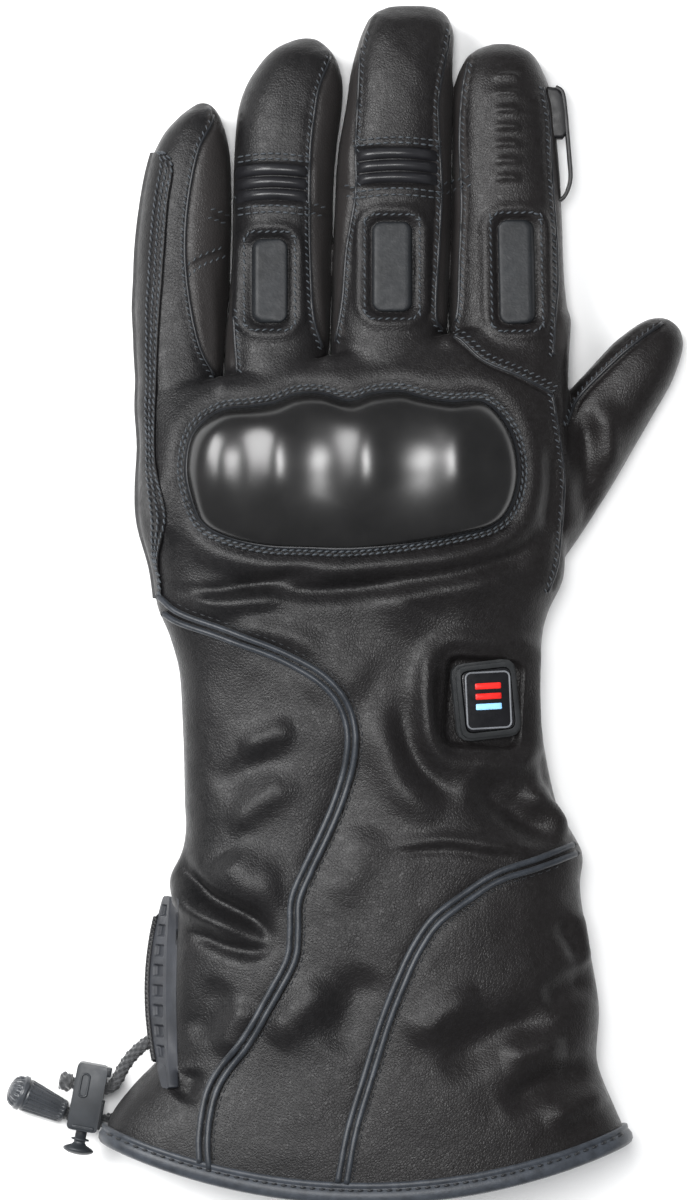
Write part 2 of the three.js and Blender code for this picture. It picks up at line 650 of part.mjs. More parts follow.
// How high the hand's back is at the guard, as a share of the hand's height.
function guardSeat(y) {
  const EDGE_DROP = 0.05;
  return rowAt(BODY_SECTIONS, THREE.MathUtils.clamp(y, HEM_Y, KNUCKLE_Y)).top / HAND_HEIGHT - EDGE_DROP;
}

function guardFrame() {
  const ring = prism(guardOutline(GUARD_FRAME_WIDTH), 0, ceiling).subtract(
    prism(guardOutline(PIECE_GAP), 0, ceiling),
  );
  return layer(ring, FRAME_RISE);
}

// A rounded rectangle in plan, in the direction of a finger.
function padOutline(finger, pad, grow, chamfer = 0) {
  const CORNER = 1.6;
  const centre = fingerCentre(finger, pad.at);
  centre.x += pad.aside;
  const x = pad.width / 2 + grow;
  const y = pad.length / 2 + grow;
  const corner = Math.min(CORNER, x / 2);
  const shape = new THREE.Shape();
  shape.moveTo(-x, -y + corner + chamfer);
  shape.lineTo(-x, y - corner);
  shape.quadraticCurveTo(-x, y, -x + corner, y);
  shape.lineTo(x - corner, y);
  shape.quadraticCurveTo(x, y, x, y - corner);
  shape.lineTo(x, -y + corner);
  shape.quadraticCurveTo(x, -y, x - corner, -y);
  shape.lineTo(-x + corner, -y + chamfer);
  shape.quadraticCurveTo(-x, -y + chamfer, -x, -y + corner + chamfer);
  return shape.getPoints(2).slice(1).reverse().map((p) => p.add(centre));
}

function fingerPad(finger, pad, chamfer) {
  return layer(prism(padOutline(finger, pad, 0, chamfer), 0, ceiling), PAD_RISE);
}

// A stitched panel with raised ribs across the finger.
function flexPanel(finger, ribs) {
  const SEAM_MARGIN = 1.2;
  const pitch = RIB_LENGTH / RIB_COUNT;
  const centre = fingerCentre(finger, ribs.at);
  centre.x += ribs.aside;
  const bar = (y, length, width) =>
    box({ x: centre.x, y, z: ceiling / 2 }, { x: width, y: length, z: ceiling });
  const base = layer(bar(centre.y, RIB_LENGTH + 2 * SEAM_MARGIN, ribs.width), FRAME_RISE);
  return Array.from({ length: RIB_COUNT }, (_, k) => centre.y + (k - (RIB_COUNT - 1) / 2) * pitch)
    .map((y) => layer(bar(y, pitch * 0.6, ribs.width - 1), RIB_RISE))
    .reduce((sum, rib) => sum.add(rib), base);
}

// The height of the leather above a place in plan, read from the skin's own facets.
const caster = new THREE.Raycaster();
const skinMesh = new THREE.Mesh(geometryOf(gloveSkin(0)), new THREE.MeshBasicMaterial());
function leatherHeight(x, y) {
  caster.set(new THREE.Vector3(x, y, 2 * ceiling), new THREE.Vector3(0, 0, -1));
  const hits = caster.intersectObject(skinMesh);
  return hits.length ? hits[0].point.z : 0;
}

// Double piping: two round cords side by side, laid over a seam.
function piping(seam) {
  const PROFILE = [
    { side: -1.3, up: 0, foot: true }, { side: 1.3, up: 0, foot: true }, { side: 2, up: 0.9 },
    { side: 1.2, up: 1.8 }, { side: 0, up: 1.25 }, { side: -1.2, up: 1.8 }, { side: -2, up: 0.9 },
  ];
  const LEAST_RISE = 0.25; // above the leather's facets
  const rings = seam.map((point, i) => {
    const before = seam[Math.max(i - 1, 0)];
    const after = seam[Math.min(i + 1, seam.length - 1)];
    const along = after.clone().sub(before).normalize();
    const right = new THREE.Vector2(along.y, -along.x).multiplyScalar(PIPING_RADIUS);
    return PROFILE.map(({ side, up, foot }) => {
      const x = point.x + right.x * side;
      const y = point.y + right.y * side;
      const height = leatherHeight(x, y) + PIECE_GAP + (foot ? LEAST_RISE : 0);
      return new THREE.Vector3(x, y, height + up * PIPING_RADIUS);
    });
  });
  const binding = [HEM_Y - OVERCUT, HEM_Y, HEM_Y + HEM_WIDTH + PIECE_GAP];
  return solid(loft(rings)).subtract(gloveSkin(PIECE_GAP)).subtract(bodySkin(6, binding));
}

// The binding: leather folded round the raw edge of the cuff, as a profile swept round the hem.
function hemBinding() {
  const near = HEM_Y - PIECE_GAP;
  const past = near - HEM_THICK;
  const end = HEM_Y + HEM_WIDTH;
  const lining = -PADDED_WALL - PIECE_GAP;
  const PROFILE = [
    [PIECE_GAP + HEM_THICK, end], [PIECE_GAP + HEM_THICK, past], [lining - HEM_THICK, past],
    [lining - HEM_THICK, end], [lining, end], [lining, near], [PIECE_GAP, near], [PIECE_GAP, end],
  ];
  const rows = PROFILE.map(([offset, y]) => {
    const row = rowAt(BODY_SECTIONS, Math.max(y, HEM_Y));
    return bodyRing(row, y, offset);
  });
  const rings = rows[0].map((_, k) => rows.map((row) => row[k]));
  return solid(hoop(rings));
}

// The rubber tab that lies along the outer edge of the cuff, with plain slots in its face.
function sideTab() {
  const BULGE = 3;
  const STATIONS = 8;
  const SLOT = { deep: 0.7, length: 3.4, share: 0.55, floor: 0.6 };
  const slope = rad(TAB_SLOPE);
  const down = new THREE.Vector2(-Math.cos(slope), -Math.sin(slope));
  const inwards = new THREE.Vector2(Math.sin(slope), -Math.cos(slope));
  const top = cuffPoint([TAB_AT.x, TAB_AT.y]);
  const place = (share, along, deep) => {
    const bulge = BULGE * (1 - (2 * share) ** 2);
    const y = top.y + share * TAB_LENGTH;
    const height = (leatherHeight(top.x, y) + leatherHeight(top.x, top.y)) / 2 + TAB_THICK;
    return new THREE.Vector3(
      top.x + along * down.x + deep * inwards.x - bulge,
      y,
      height + along * down.y + deep * inwards.y,
    );
  };
  const bar = (from, to, stations, corners) =>
    solid(
      loft(
        Array.from({ length: stations + 1 }, (_, i) => {
          const share = from + ((to - from) * i) / stations;
          return corners.map(([along, deep]) => place(share, along, deep));
        }),
      ),
    );
  const plate = bar(-0.5, 0.5, STATIONS, [
    [TAB_HEIGHT, 0], [TAB_HEIGHT, TAB_THICK], [0, TAB_THICK], [0, 0],
  ]);
  const low = TAB_HEIGHT * (0.5 + SLOT.share / 2);
  const high = TAB_HEIGHT * (0.5 - SLOT.share / 2);
  const slotOutline = [[low, -SLOT.deep], [low, SLOT.deep], [high, SLOT.deep], [high, -SLOT.deep]];
  const halfSlot = SLOT.length / TAB_LENGTH / 2;
  const floor = gloveSkin(PIECE_GAP + SLOT.floor);
  return Array.from({ length: TAB_SLOTS }, (_, k) => ((k - (TAB_SLOTS - 1) / 2) * 0.84) / TAB_SLOTS)
    .map((share) => bar(share - halfSlot, share + halfSlot, 1, slotOutline).subtract(floor))
    .reduce((made, slot) => made.subtract(slot), plate)
    .subtract(gloveSkin(PIECE_GAP));
}

// The seam strip of the side panel along the little finger and the hand's outer edge.
function sideBand() {
  const plan = strip(route(SIDE_BAND.map(palmPoint), 12), SIDE_BAND_WIDTH, 0, ceiling);
  return layer(plan, SIDE_BAND_RISE);
}

// A block with rounded upright corners, from z = 0 up.
function roundedBlock(width, length, height, corner) {
  const x = width / 2;
  const y = length / 2;
  const shape = new THREE.Shape();
  shape.moveTo(-x + corner, -y);
  shape.lineTo(x - corner, -y);
  shape.quadraticCurveTo(x, -y, x, -y + corner);
  shape.lineTo(x, y - corner);
  shape.quadraticCurveTo(x, y, x - corner, y);
  shape.lineTo(-x + corner, y);
  shape.quadraticCurveTo(-x, y, -x, y - corner);
  shape.lineTo(-x, -y + corner);
  shape.quadraticCurveTo(-x, -y, -x + corner, -y);
  return new THREE.ExtrudeGeometry(shape, { depth: height, bevelEnabled: false, curveSegments: 3 });
}

// The frame of the heat control: tilted with the side of the wrist that it sits on.
const controlPlace = new THREE.Group();
const controlPlan = new THREE.Vector2(CONTROL_AT.x * CUFF_WIDTH, WRIST_Y + CONTROL_AT.y * CUFF_LENGTH);
controlPlace.position.set(controlPlan.x, controlPlan.y, leatherHeight(controlPlan.x, controlPlan.y));
controlPlace.rotation.set(0, rad(CONTROL_TILT), rad(CONTROL_TURN), "YXZ");
controlPlace.updateMatrixWorld(true);

function localSkin() {
  const inverse = controlPlace.matrixWorld.clone().invert();
  const local = geometryOf(gloveSkin(PIECE_GAP)).applyMatrix4(inverse);
  return solid(local);
}

function controlBezel() {
  const SUNK = 6;
  const STEP = 0.8; // from the lip in to the crown
  const shown = CONTROL.height - 2;
  const crownWidth = CONTROL.width - 2 * STEP;
  const crownLength = CONTROL.length - 2 * STEP;
  const lip = roundedBlock(CONTROL.width, CONTROL.length, SUNK + shown * 0.5, CONTROL_CORNER);
  const crown = roundedBlock(crownWidth, crownLength, SUNK + shown, CONTROL_CORNER - STEP);
  lip.translate(0, 0, -SUNK);
  crown.translate(0, 0, -SUNK);
  const pocket = roundedBlock(
    BUTTON.width + 2 * PIECE_GAP,
    BUTTON.length + 2 * PIECE_GAP,
    OVERCUT,
    BUTTON_CORNER + PIECE_GAP,
  );
  pocket.translate(0, 0, shown - BUTTON.thick - BUTTON_TRAVEL);
  return solid(lip).add(solid(crown)).subtract(solid(pocket)).subtract(localSkin());
}

// The button's face, which stands its travel above the bottom of the pocket.
function controlButton() {
  const shown = CONTROL.height - 2;
  const PROUD = 0.3;
  const geometry = roundedBlock(BUTTON.width, BUTTON.length, BUTTON.thick, BUTTON_CORNER);
  geometry.translate(0, 0, shown - BUTTON.thick + PROUD);
  return solid(geometry);
}

// The blade on the index finger's side: fixed along its front half, free of the leather behind.
function visorWiper() {
  const centre = fingerCentre(INDEX, WIPER_AT);
  const half = (INDEX.width / 2) * rowAt(FINGER_SECTIONS, WIPER_AT).wide;
  const low = INDEX.height * 0.34;
  const high = INDEX.height * 0.62;
  const STATIONS = 8;
  const inner = [];
  const outer = [];
  for (let i = 0; i <= STATIONS; i += 1) {
    const share = i / STATIONS;
    const y = centre.y + (0.5 - share) * WIPER.length;
    const swell = Math.sin(Math.PI * Math.min(share * 1.15, 1)) ** 0.4;
    const edge = WIPER.height * (share < 1 ? Math.max(swell, 0.35) : 0.3);
    outer.push(new THREE.Vector2(centre.x + half + edge, y));
    const solidPart = share < 0.5;
    const inside = solidPart ? -1.5 : Math.min(WIPER.height * 0.95 * swell - WIPER.thick, WIPER.height);
    inner.push(new THREE.Vector2(centre.x + half + (share < 1 ? inside : -1.5), y));
  }
  return prism([...inner.reverse(), ...outer], low, high).subtract(gloveSkin(PIECE_GAP));
}

// The lock's own frame: X across, Y along its plunger, Z up.
const lockPlace = new THREE.Group();
lockPlace.position.set(LOCK_AT.x, LOCK_AT.y, CORD_HEIGHT);
lockPlace.rotation.z = rad(LOCK_TURN);

// A round bar along Y between two places.
function barAlongY(radius, from, to, sides = 14) {
  const geometry = new THREE.CylinderGeometry(radius, radius, to - from, sides);
  geometry.translate(0, (from + to) / 2, 0);
  return solid(geometry);
}

const cordHole = CORD_RADIUS + PIECE_GAP;
const plungerTop = LOCK_SLOT_UP + cordHole + 0.9;
const boreTop = plungerTop + PLUNGER_TRAVEL + PIECE_GAP;

function lockBody() {
  const half = LOCK.length / 2;
  const boreFloor = -half + LOCK_FLOOR;
  const block = roundedBlock(LOCK.width, LOCK.length, LOCK.depth, 1.4);
  block.translate(0, 0, -LOCK.depth / 2);
  const slot = solid(slotAcross(LOCK_SLOT_UP, LOCK_SLOT_LENGTH, cordHole, LOCK.width + OVERCUT));
  return solid(block)
    .subtract(barAlongY(PLUNGER_RADIUS + PIECE_GAP, boreFloor, boreTop))
    .subtract(barAlongY(PLUNGER_NECK_RADIUS + PIECE_GAP, -half - 1, boreFloor + 1))
    .subtract(slot);
}

// A slot with round ends that runs across, along X.
function slotAcross(middle, length, radius, depth) {
  const shape = new THREE.Shape();
  const straight = length / 2 - radius;
  shape.absarc(middle + straight, 0, radius, -Math.PI / 2, Math.PI / 2);
  shape.absarc(middle - straight, 0, radius, Math.PI / 2, (3 * Math.PI) / 2);
  const geometry = new THREE.ExtrudeGeometry(shape, { depth, bevelEnabled: false, curveSegments: 5 });
  geometry.translate(0, 0, -depth / 2);
  geometry.rotateZ(Math.PI / 2);
  geometry.rotateY(Math.PI / 2);
  return geometry;
}

// The plunger: a bar with a tall cord hole, a neck, a collar and a mushroom cap.
function lockPlunger() {
  const half = LOCK.length / 2;
  const holeLow = LOCK_SLOT_UP - cordHole - PLUNGER_TRAVEL;
  const barFloor = holeLow - 1.4;
  const holeLength = 2 * cordHole + PLUNGER_TRAVEL;
  const hole = slotAcross(holeLow + holeLength / 2, holeLength, cordHole, LOCK.width + OVERCUT);
  const neckEnd = -half - PLUNGER_NECK_SHOWN;
  const cap = new THREE.LatheGeometry(
    [
      new THREE.Vector2(0, 0),
      new THREE.Vector2(PLUNGER_CAP_RADIUS * 0.6, PLUNGER_CAP_HEIGHT * 0.16),
      new THREE.Vector2(PLUNGER_CAP_RADIUS, PLUNGER_CAP_HEIGHT * 0.66),
      new THREE.Vector2(PLUNGER_CAP_RADIUS * 0.9, PLUNGER_CAP_HEIGHT * 0.81),
      new THREE.Vector2(PLUNGER_NECK_RADIUS, PLUNGER_CAP_HEIGHT),
      new THREE.Vector2(0, PLUNGER_CAP_HEIGHT),
    ],
    16,
  );
  cap.translate(0, neckEnd - PLUNGER_CAP_HEIGHT * 0.9, 0);
  return barAlongY(PLUNGER_RADIUS, barFloor, plungerTop)
    .subtract(solid(hole))
    .add(barAlongY(PLUNGER_NECK_RADIUS, neckEnd - 1, barFloor + 0.5, 12))
    .add(solid(cap));
}

// The bell at the end of the drawcord, with a bore that the cord goes into.
function cordBell() {
  const { length, narrow, wide, bore } = BELL;
  const profile = [
    [0, bore], [cordHole, bore], [cordHole, 0], [narrow, 0], [narrow + 0.15, 0.5],
    [wide - 0.35, length * 0.72], [wide, length * 0.74], [wide, length * 0.82],
    [wide - 0.5, length * 0.84], [wide - 0.9, length * 0.93], [wide * 0.5, length], [0, length],
  ];
  return solid(new THREE.LatheGeometry(profile.map(([r, y]) => new THREE.Vector2(r, y)), 16));
}

// The knot that stops the cord at the lock, with a bore that the cord's end goes into.
function cordKnot() {
  const bore = KNOT.length - 0.9;
  const profile = [
    [0, bore], [cordHole, bore], [cordHole, 0], [KNOT.radius - 0.3, 0], [KNOT.radius, KNOT.length / 2],
    [KNOT.radius * 0.8, KNOT.length * 0.85], [KNOT.radius * 0.5, KNOT.length], [0, KNOT.length],
  ];
  return solid(new THREE.LatheGeometry(profile.map(([r, y]) => new THREE.Vector2(r, y)), 12));
}

function cord(points) {
  const places = points.map((p) => new THREE.Vector3(...p));
  const path = new THREE.CatmullRomCurve3(places, false, "centripetal");
  const section = new THREE.Shape();
  for (let k = 0; k < CORD_POINTS; k += 1) {
    const angle = (2 * Math.PI * k) / CORD_POINTS;
    const x = CORD_RADIUS * Math.cos(angle);
    const y = CORD_RADIUS * Math.sin(angle);
    if (k) section.lineTo(x, y);
    else section.moveTo(x, y);
  }
  return new THREE.ExtrudeGeometry(section, { steps: 13, extrudePath: path });
}

// The hole in the cuff that a cord comes out of.
function cordExit(points) {
  const start = new THREE.Vector3(...points[0]);
  const next = new THREE.Vector3(...points[2]);
  const along = next.clone().sub(start).normalize();
  const reach = 12;
  const geometry = new THREE.CylinderGeometry(cordHole + 0.3, cordHole + 0.3, 2 * reach, 12);
  geometry.applyQuaternion(
    new THREE.Quaternion().setFromUnitVectors(new THREE.Vector3(0, 1, 0), along),
  );
  geometry.translate(start.x, start.y, start.z);
  return solid(geometry);
}

const glove = new THREE.Group();

function place(name, made, material, parent = glove) {
  const geometry = made.isBufferGeometry ? made : geometryOf(made);
  const mesh = new THREE.Mesh(geometry, material);
  mesh.name = name;
  parent.add(mesh);
  return mesh;
}

function addLeather() {
  const exits = [CORD_THROUGH_LOCK, CORD_TO_BELL].map(cordExit);
  const pierced = (made) => exits.reduce((left, exit) => left.subtract(exit), made);
  for (const [name, made] of Object.entries(bodyPanels())) {
    const cut = name === "palm_panel" || name === "outer_cuff_panel" ? pierced(made) : made;
    place(name, cut, leather);
  }
  for (const [name, made] of fingerSleeves()) place(name, made, leather);
  place("thumb", thumbSleeve(), leather);
}

function addTrim() {
  place("knuckle_guard", knuckleGuard(), guardPlastic);
  place("guard_frame", guardFrame(), trimLeather);
  place("ring_pad", fingerPad(RING, RING_PAD, 0), leather);
  place("middle_pad", fingerPad(MIDDLE, MIDDLE_PAD, 0), leather);
  place("index_pad", fingerPad(INDEX, INDEX_PAD, INDEX_PAD_CHAMFER), leather);
  place("ring_flex_panel", flexPanel(RING, RING_RIBS), leather);
  place("middle_flex_panel", flexPanel(MIDDLE, MIDDLE_RIBS), leather);
  place("side_band", sideBand(), trimLeather);
  place("outer_piping", piping(outerSeam), trimLeather);
  place("inner_piping", piping(innerSeam), trimLeather);
  place("hem_binding", hemBinding(), trimLeather);
  place("side_tab", sideTab(), greyRubber);
  place("visor_wiper", visorWiper(), blackRubber);
}

function addControl() {
  glove.add(controlPlace);
  place("control_bezel", controlBezel(), blackRubber, controlPlace);
  place("control_button", controlButton(), blackRubber, controlPlace);
}

function addDrawcord() {
  glove.add(lockPlace);
  place("cord_lock", lockBody(), lockPlastic, lockPlace);
  place("cord_lock_plunger", lockPlunger(), lockPlastic, lockPlace);
  const knot = place("cord_knot", cordKnot(), cordFabric, lockPlace);
  knot.rotation.z = rad(90);
  knot.position.set(-LOCK.width / 2 - 2 * PIECE_GAP, LOCK_SLOT_UP, 0);
  place("cord_through_lock", cord(CORD_THROUGH_LOCK), cordFabric);
  place("cord_to_bell", cord(CORD_TO_BELL), cordFabric);
  const bell = place("cord_bell", cordBell(), lockPlastic);
  const rise = Math.asin((BELL.wide - BELL.narrow) / (BELL.length * 0.74));
  bell.rotation.set(0, 0, rad(90 - BELL_TURN));
  bell.rotateX(rise);
  bell.position.set(BELL_AT.x, BELL_AT.y, BELL.narrow + 0.1);
}

addLeather();
addTrim();
addControl();
addDrawcord();

export default glove;
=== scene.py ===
"""Heated gauntlet glove: padded leather with a moulded knuckle guard, a heat control and a drawcord.

Lengths are metres: X to the thumb's side, Y to the fingertips, Z up from what the glove lies on.
Places on its back are on a plan whose unit is PIXEL metres, and spot() brings them to the glove.
"""

import json
import math

import bmesh
import bpy
import numpy as np
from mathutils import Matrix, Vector


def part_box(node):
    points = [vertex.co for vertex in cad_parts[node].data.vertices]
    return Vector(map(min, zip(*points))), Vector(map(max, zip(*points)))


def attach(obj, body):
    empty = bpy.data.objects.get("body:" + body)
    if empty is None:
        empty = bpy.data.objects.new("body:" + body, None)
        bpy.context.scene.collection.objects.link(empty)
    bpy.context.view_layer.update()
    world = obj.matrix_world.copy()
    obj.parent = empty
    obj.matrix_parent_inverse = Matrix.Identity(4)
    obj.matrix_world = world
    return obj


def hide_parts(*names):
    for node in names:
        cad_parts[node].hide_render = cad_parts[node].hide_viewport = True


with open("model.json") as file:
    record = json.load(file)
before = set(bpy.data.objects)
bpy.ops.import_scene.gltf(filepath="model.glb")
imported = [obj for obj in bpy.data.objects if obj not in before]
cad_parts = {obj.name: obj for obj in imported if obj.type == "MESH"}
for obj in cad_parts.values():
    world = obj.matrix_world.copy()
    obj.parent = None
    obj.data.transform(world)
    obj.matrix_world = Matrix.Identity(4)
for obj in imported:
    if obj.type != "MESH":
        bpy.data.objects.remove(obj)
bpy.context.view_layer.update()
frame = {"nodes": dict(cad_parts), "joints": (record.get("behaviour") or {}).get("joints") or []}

MM = 0.001
PIXEL = 0.285 * MM  # real size of one unit of the plan
PLAN_ORIGIN = (360, 540)  # the plan's place above the palm's middle
PLAN_MIDDLE = (343.5, 600)
PLAN_HEIGHT = 1200


def spot(points):
    """Plan places to metres: x to the right of the palm's middle and y towards the fingertips."""
    places = np.asarray(points, float)
    return (places - PLAN_ORIGIN) * (PIXEL, -PIXEL)


# Curves in the plane and in space


def route(points, step, closed=False):
    """A smooth curve through points, cut into even steps: on each span the cubic
    p = (2b + (c - a)t + (2a - 5b + 4c - d)t^2 + (3b - a - 3c + d)t^3) / 2
    of the four points a, b, c, d round it."""
    p = np.asarray(points, float)
    if closed:
        p = np.concatenate([p[-1:], p, p[:2]])
    else:
        p = np.concatenate([2 * p[:1] - p[1:2], p, 2 * p[-1:] - p[-2:-1]])
    a, b, c, d = p[:-3, None], p[1:-2, None], p[2:-1, None], p[3:, None]
    t = np.linspace(0, 1, 24, endpoint=False)[None, :, None]
    curve = (2 * b + (c - a) * t + (2 * a - 5 * b + 4 * c - d) * t**2 + (3 * b - a - 3 * c + d) * t**3) / 2
    curve = np.concatenate([curve.reshape(-1, p.shape[1]), c[-1]])
    run = np.concatenate([[0], np.cumsum(np.linalg.norm(np.diff(curve, axis=0), axis=1))])
    count = max(int(round(run[-1] / step)), 3)
    at = np.linspace(0, run[-1], count + 1)[: count if closed else count + 1]
    return np.stack([np.interp(at, run, curve[:, k]) for k in range(p.shape[1])], 1)


def length_of(path):
    """The sum of the distances between a path's points."""
    return float(np.linalg.norm(np.diff(path, axis=0), axis=1).sum())


def around(plan, curve, reach):
    """Which places lie in the box round a curve, grown by reach."""
    return ((plan > curve.min(0) - reach) & (plan < curve.max(0) + reach)).all(1)


def headings(path, closed=False):
    """Unit vectors along a path: the difference of each point's neighbours."""
    if closed:
        along = np.roll(path, -1, 0) - np.roll(path, 1, 0)
    else:
        along = np.gradient(path, axis=0)
    return along / np.linalg.norm(along, axis=1, keepdims=True)


def beside(places, line):
    """For each place the distance to a line of points, the side (above 0 on its left) and how far
    along the line its nearest point lies."""
    start, span = line[:-1], np.diff(line, axis=0)
    reach = (span**2).sum(1)
    runs = np.concatenate([[0], np.cumsum(np.sqrt(reach))])
    off = places[:, None] - start
    share = np.clip((off * span).sum(-1) / reach, 0, 1)
    gap = np.linalg.norm(off - share[..., None] * span, axis=-1)
    near = gap.argmin(1)
    row = np.arange(len(places))
    turn = span[near, 0] * off[row, near, 1] - span[near, 1] * off[row, near, 0]
    return gap[row, near], np.where(turn >= 0, 1, -1), runs[near] + share[row, near] * np.sqrt(reach[near])


def smooth(low, high, value):
    """0 below low, 1 above high, and the curve 3t^2 - 2t^3 between."""
    t = np.clip((value - low) / (high - low), 0, 1)
    return t * t * (3 - 2 * t)


def rounded_box(places, centre, half, turn, corner):
    """Signed distance from each place to a turned rectangle with round corners, below 0 inside."""
    angle = math.radians(turn)
    x, y = (places - centre).T
    across = np.abs(x * math.cos(angle) + y * math.sin(angle)) - half[0] + corner
    up = np.abs(y * math.cos(angle) - x * math.sin(angle)) - half[1] + corner
    outside = np.hypot(np.maximum(across, 0), np.maximum(up, 0))
    return outside + np.minimum(np.maximum(across, up), 0) - corner


def lumps(places, size, seed):
    """Smooth random heights from -1 to 1: a lattice of random values a size apart, blended by
    3t^2 - 2t^3 between its corners."""
    cell = places / size
    low = np.floor(cell).astype(int)
    t = cell - low
    t = t * t * (3 - 2 * t)
    low -= low.min(0)
    lattice = np.random.default_rng(seed).uniform(-1, 1, low.max(0) + 2)
    total = 0
    for corner in np.ndindex(*(2,) * places.shape[1]):
        weight = np.prod(np.where(corner, t, 1 - t), axis=1)
        total = total + weight * lattice[tuple((low + corner).T)]
    return total


# Meshes


def new_piece(name, verts, faces, material):
    """A smooth piece with one material from its corners and faces."""
    mesh = bpy.data.meshes.new(name)
    mesh.from_pydata(np.asarray(verts).tolist(), [], [list(map(int, f)) for f in faces])
    mesh.materials.append(material)
    mesh.polygons.foreach_set("use_smooth", np.ones(len(mesh.polygons), bool))
    piece = bpy.data.objects.new(name, mesh)
    bpy.context.collection.objects.link(piece)
    return piece


def fitted(piece, slot, *nodes, body="glove"):
    """Sets a piece on its body and hides the solids that it stands for; slot is not used."""
    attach(piece, body)
    if nodes:
        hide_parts(*nodes)
    return piece


def quads(rows, points, loop=False):
    """Faces between rings of points, one ring to a row: loop joins the last row to the first."""
    i = np.arange(rows if loop else rows - 1)[:, None]
    k = np.arange(points)[None]
    a, b = i * points + k, i * points + (k + 1) % points
    c, d = (i + 1) % rows * points + (k + 1) % points, (i + 1) % rows * points + k
    return np.stack([a, b, c, d], -1).reshape(-1, 4)


def joined(name, pieces):
    """One piece from several, under a name of its own."""
    with bpy.context.temp_override(active_object=pieces[0], selected_editable_objects=pieces):
        bpy.ops.object.join()
    pieces[0].name = pieces[0].data.name = name
    return pieces[0]


def rounded_outline(half, corner, turn=0.0, points=9):
    """Points round a rectangle with round corners, turned by degrees, anticlockwise."""
    angle = np.linspace(0, np.pi / 2, points)
    quarter = np.arange(4)[:, None] * np.pi / 2
    centres = np.array([(1, 1), (-1, 1), (-1, -1), (1, -1)]) * (np.asarray(half) - corner)
    arcs = np.stack([np.cos(quarter + angle), np.sin(quarter + angle)], -1) * corner
    places = (centres[:, None] + arcs).reshape(-1, 2)
    c, s = math.cos(math.radians(turn)), math.sin(math.radians(turn))
    return places @ np.array([(c, s), (-s, c)])


def tube_piece(name, rings, material, loop=False):
    """A closed skin through rings of points, with a fan to the middle of each end."""
    rows, points = rings.shape[:2]
    verts = rings.reshape(-1, 3)
    faces = quads(rows, points, loop=loop).tolist()
    if not loop:
        first = len(verts)
        verts = np.concatenate([verts, rings[:1].mean(1), rings[-1:].mean(1)])
        k = np.arange(points)
        near = np.stack([np.full(points, first), (k + 1) % points, k], 1)
        last = (rows - 1) * points
        far = np.stack([np.full(points, first + 1), last + k, last + (k + 1) % points], 1)
        faces += near.tolist() + far.tolist()
    return new_piece(name, verts, faces, material)


def sweep(path, profile, up, closed=False):
    """Rings of a profile (sideways, height) carried along a path: each point is
    path + sideways * side + height * lift, where side is square to the path and to up."""
    along = headings(path, closed)
    side = np.cross(along, np.broadcast_to(up, path.shape))
    side /= np.linalg.norm(side, axis=1, keepdims=True)
    lift = np.cross(side, along)
    profile = np.asarray(profile)
    if profile.ndim == 2:
        profile = np.broadcast_to(profile, (len(path), *profile.shape))
    return path[:, None] + profile[..., :1] * side[:, None] + profile[..., 1:] * lift[:, None]


def circle(count, radius, flat=1.0):
    """Points of a circle, clockwise seen along the path, with its height times flat."""
    angle = -2 * np.pi * np.arange(count) / count
    return np.stack([radius * np.cos(angle), flat * radius * np.sin(angle)], 1)


# Materials


class Finish:
    """A node material in the making: the shader's sockets take plain values or node outputs."""

    def __init__(self, name, colour, roughness, **sockets):
        self.material = bpy.data.materials.new(name)
        self.material.use_nodes = True
        self.nodes = self.material.node_tree.nodes
        self.shader = self.nodes["Principled BSDF"]
        self.shader.inputs["Base Color"].default_value = (*colour, 1)
        self.shader.inputs["Roughness"].default_value = roughness
        for socket, value in sockets.items():
            self.shader.inputs[socket.replace("_", " ")].default_value = value
        self.normal = None

    def node(self, kind, values=(), **settings):
        """A node with its settings, and its sockets set to values or linked to outputs."""
        made = self.nodes.new(kind)
        for key, value in settings.items():
            setattr(made, key, value)
        for socket, value in dict(values).items():
            if isinstance(value, bpy.types.NodeSocket):
                self.material.node_tree.links.new(value, made.inputs[socket])
            else:
                made.inputs[socket].default_value = value
        return made

    def place(self):
        return self.node("ShaderNodeTexCoord").outputs["Object"]

    def noise(self, per_metre, detail=4.0, rough=0.55, distort=0.0):
        values = {
            "Vector": self.place(), "Scale": per_metre, "Detail": detail, "Roughness": rough,
            "Distortion": distort,
        }
        return self.node("ShaderNodeTexNoise", values).outputs["Fac"]

    def cells(self, per_metre):
        """Distance to the edge of the nearest of many small cells."""
        values = {"Vector": self.place(), "Scale": per_metre}
        return self.node("ShaderNodeTexVoronoi", values, feature="DISTANCE_TO_EDGE").outputs["Distance"]

    def ramp(self, value, *stops):
        """Stops of (position, colour or grey)."""
        made = self.node("ShaderNodeValToRGB", {"Fac": value})
        while len(made.color_ramp.elements) < len(stops):
            made.color_ramp.elements.new(0.5)
        for element, (position, colour) in zip(made.color_ramp.elements, stops):
            element.position = position
            element.color = (*colour, 1) if isinstance(colour, tuple) else (colour, colour, colour, 1)
        return made.outputs["Color"]

    def mix(self, share, first, second):
        """From the first colour to the second by share."""
        made = self.node("ShaderNodeMix", {"Factor": share}, data_type="RGBA")
        for socket, value in ((6, first), (7, second)):
            if isinstance(value, bpy.types.NodeSocket):
                self.material.node_tree.links.new(value, made.inputs[socket])
            else:
                made.inputs[socket].default_value = (*value, 1)
        return made.outputs[2]

    def attribute(self, name):
        return self.node("ShaderNodeAttribute", attribute_name=name).outputs["Fac"]

    def bump(self, height, depth, strength=1.0):
        values = {"Height": height, "Distance": depth, "Strength": strength}
        if self.normal:
            values["Normal"] = self.normal
        self.normal = self.node("ShaderNodeBump", values).outputs["Normal"]
        self.link(self.normal, "Normal")

    def link(self, output, socket):
        self.material.node_tree.links.new(output, self.shader.inputs[socket])


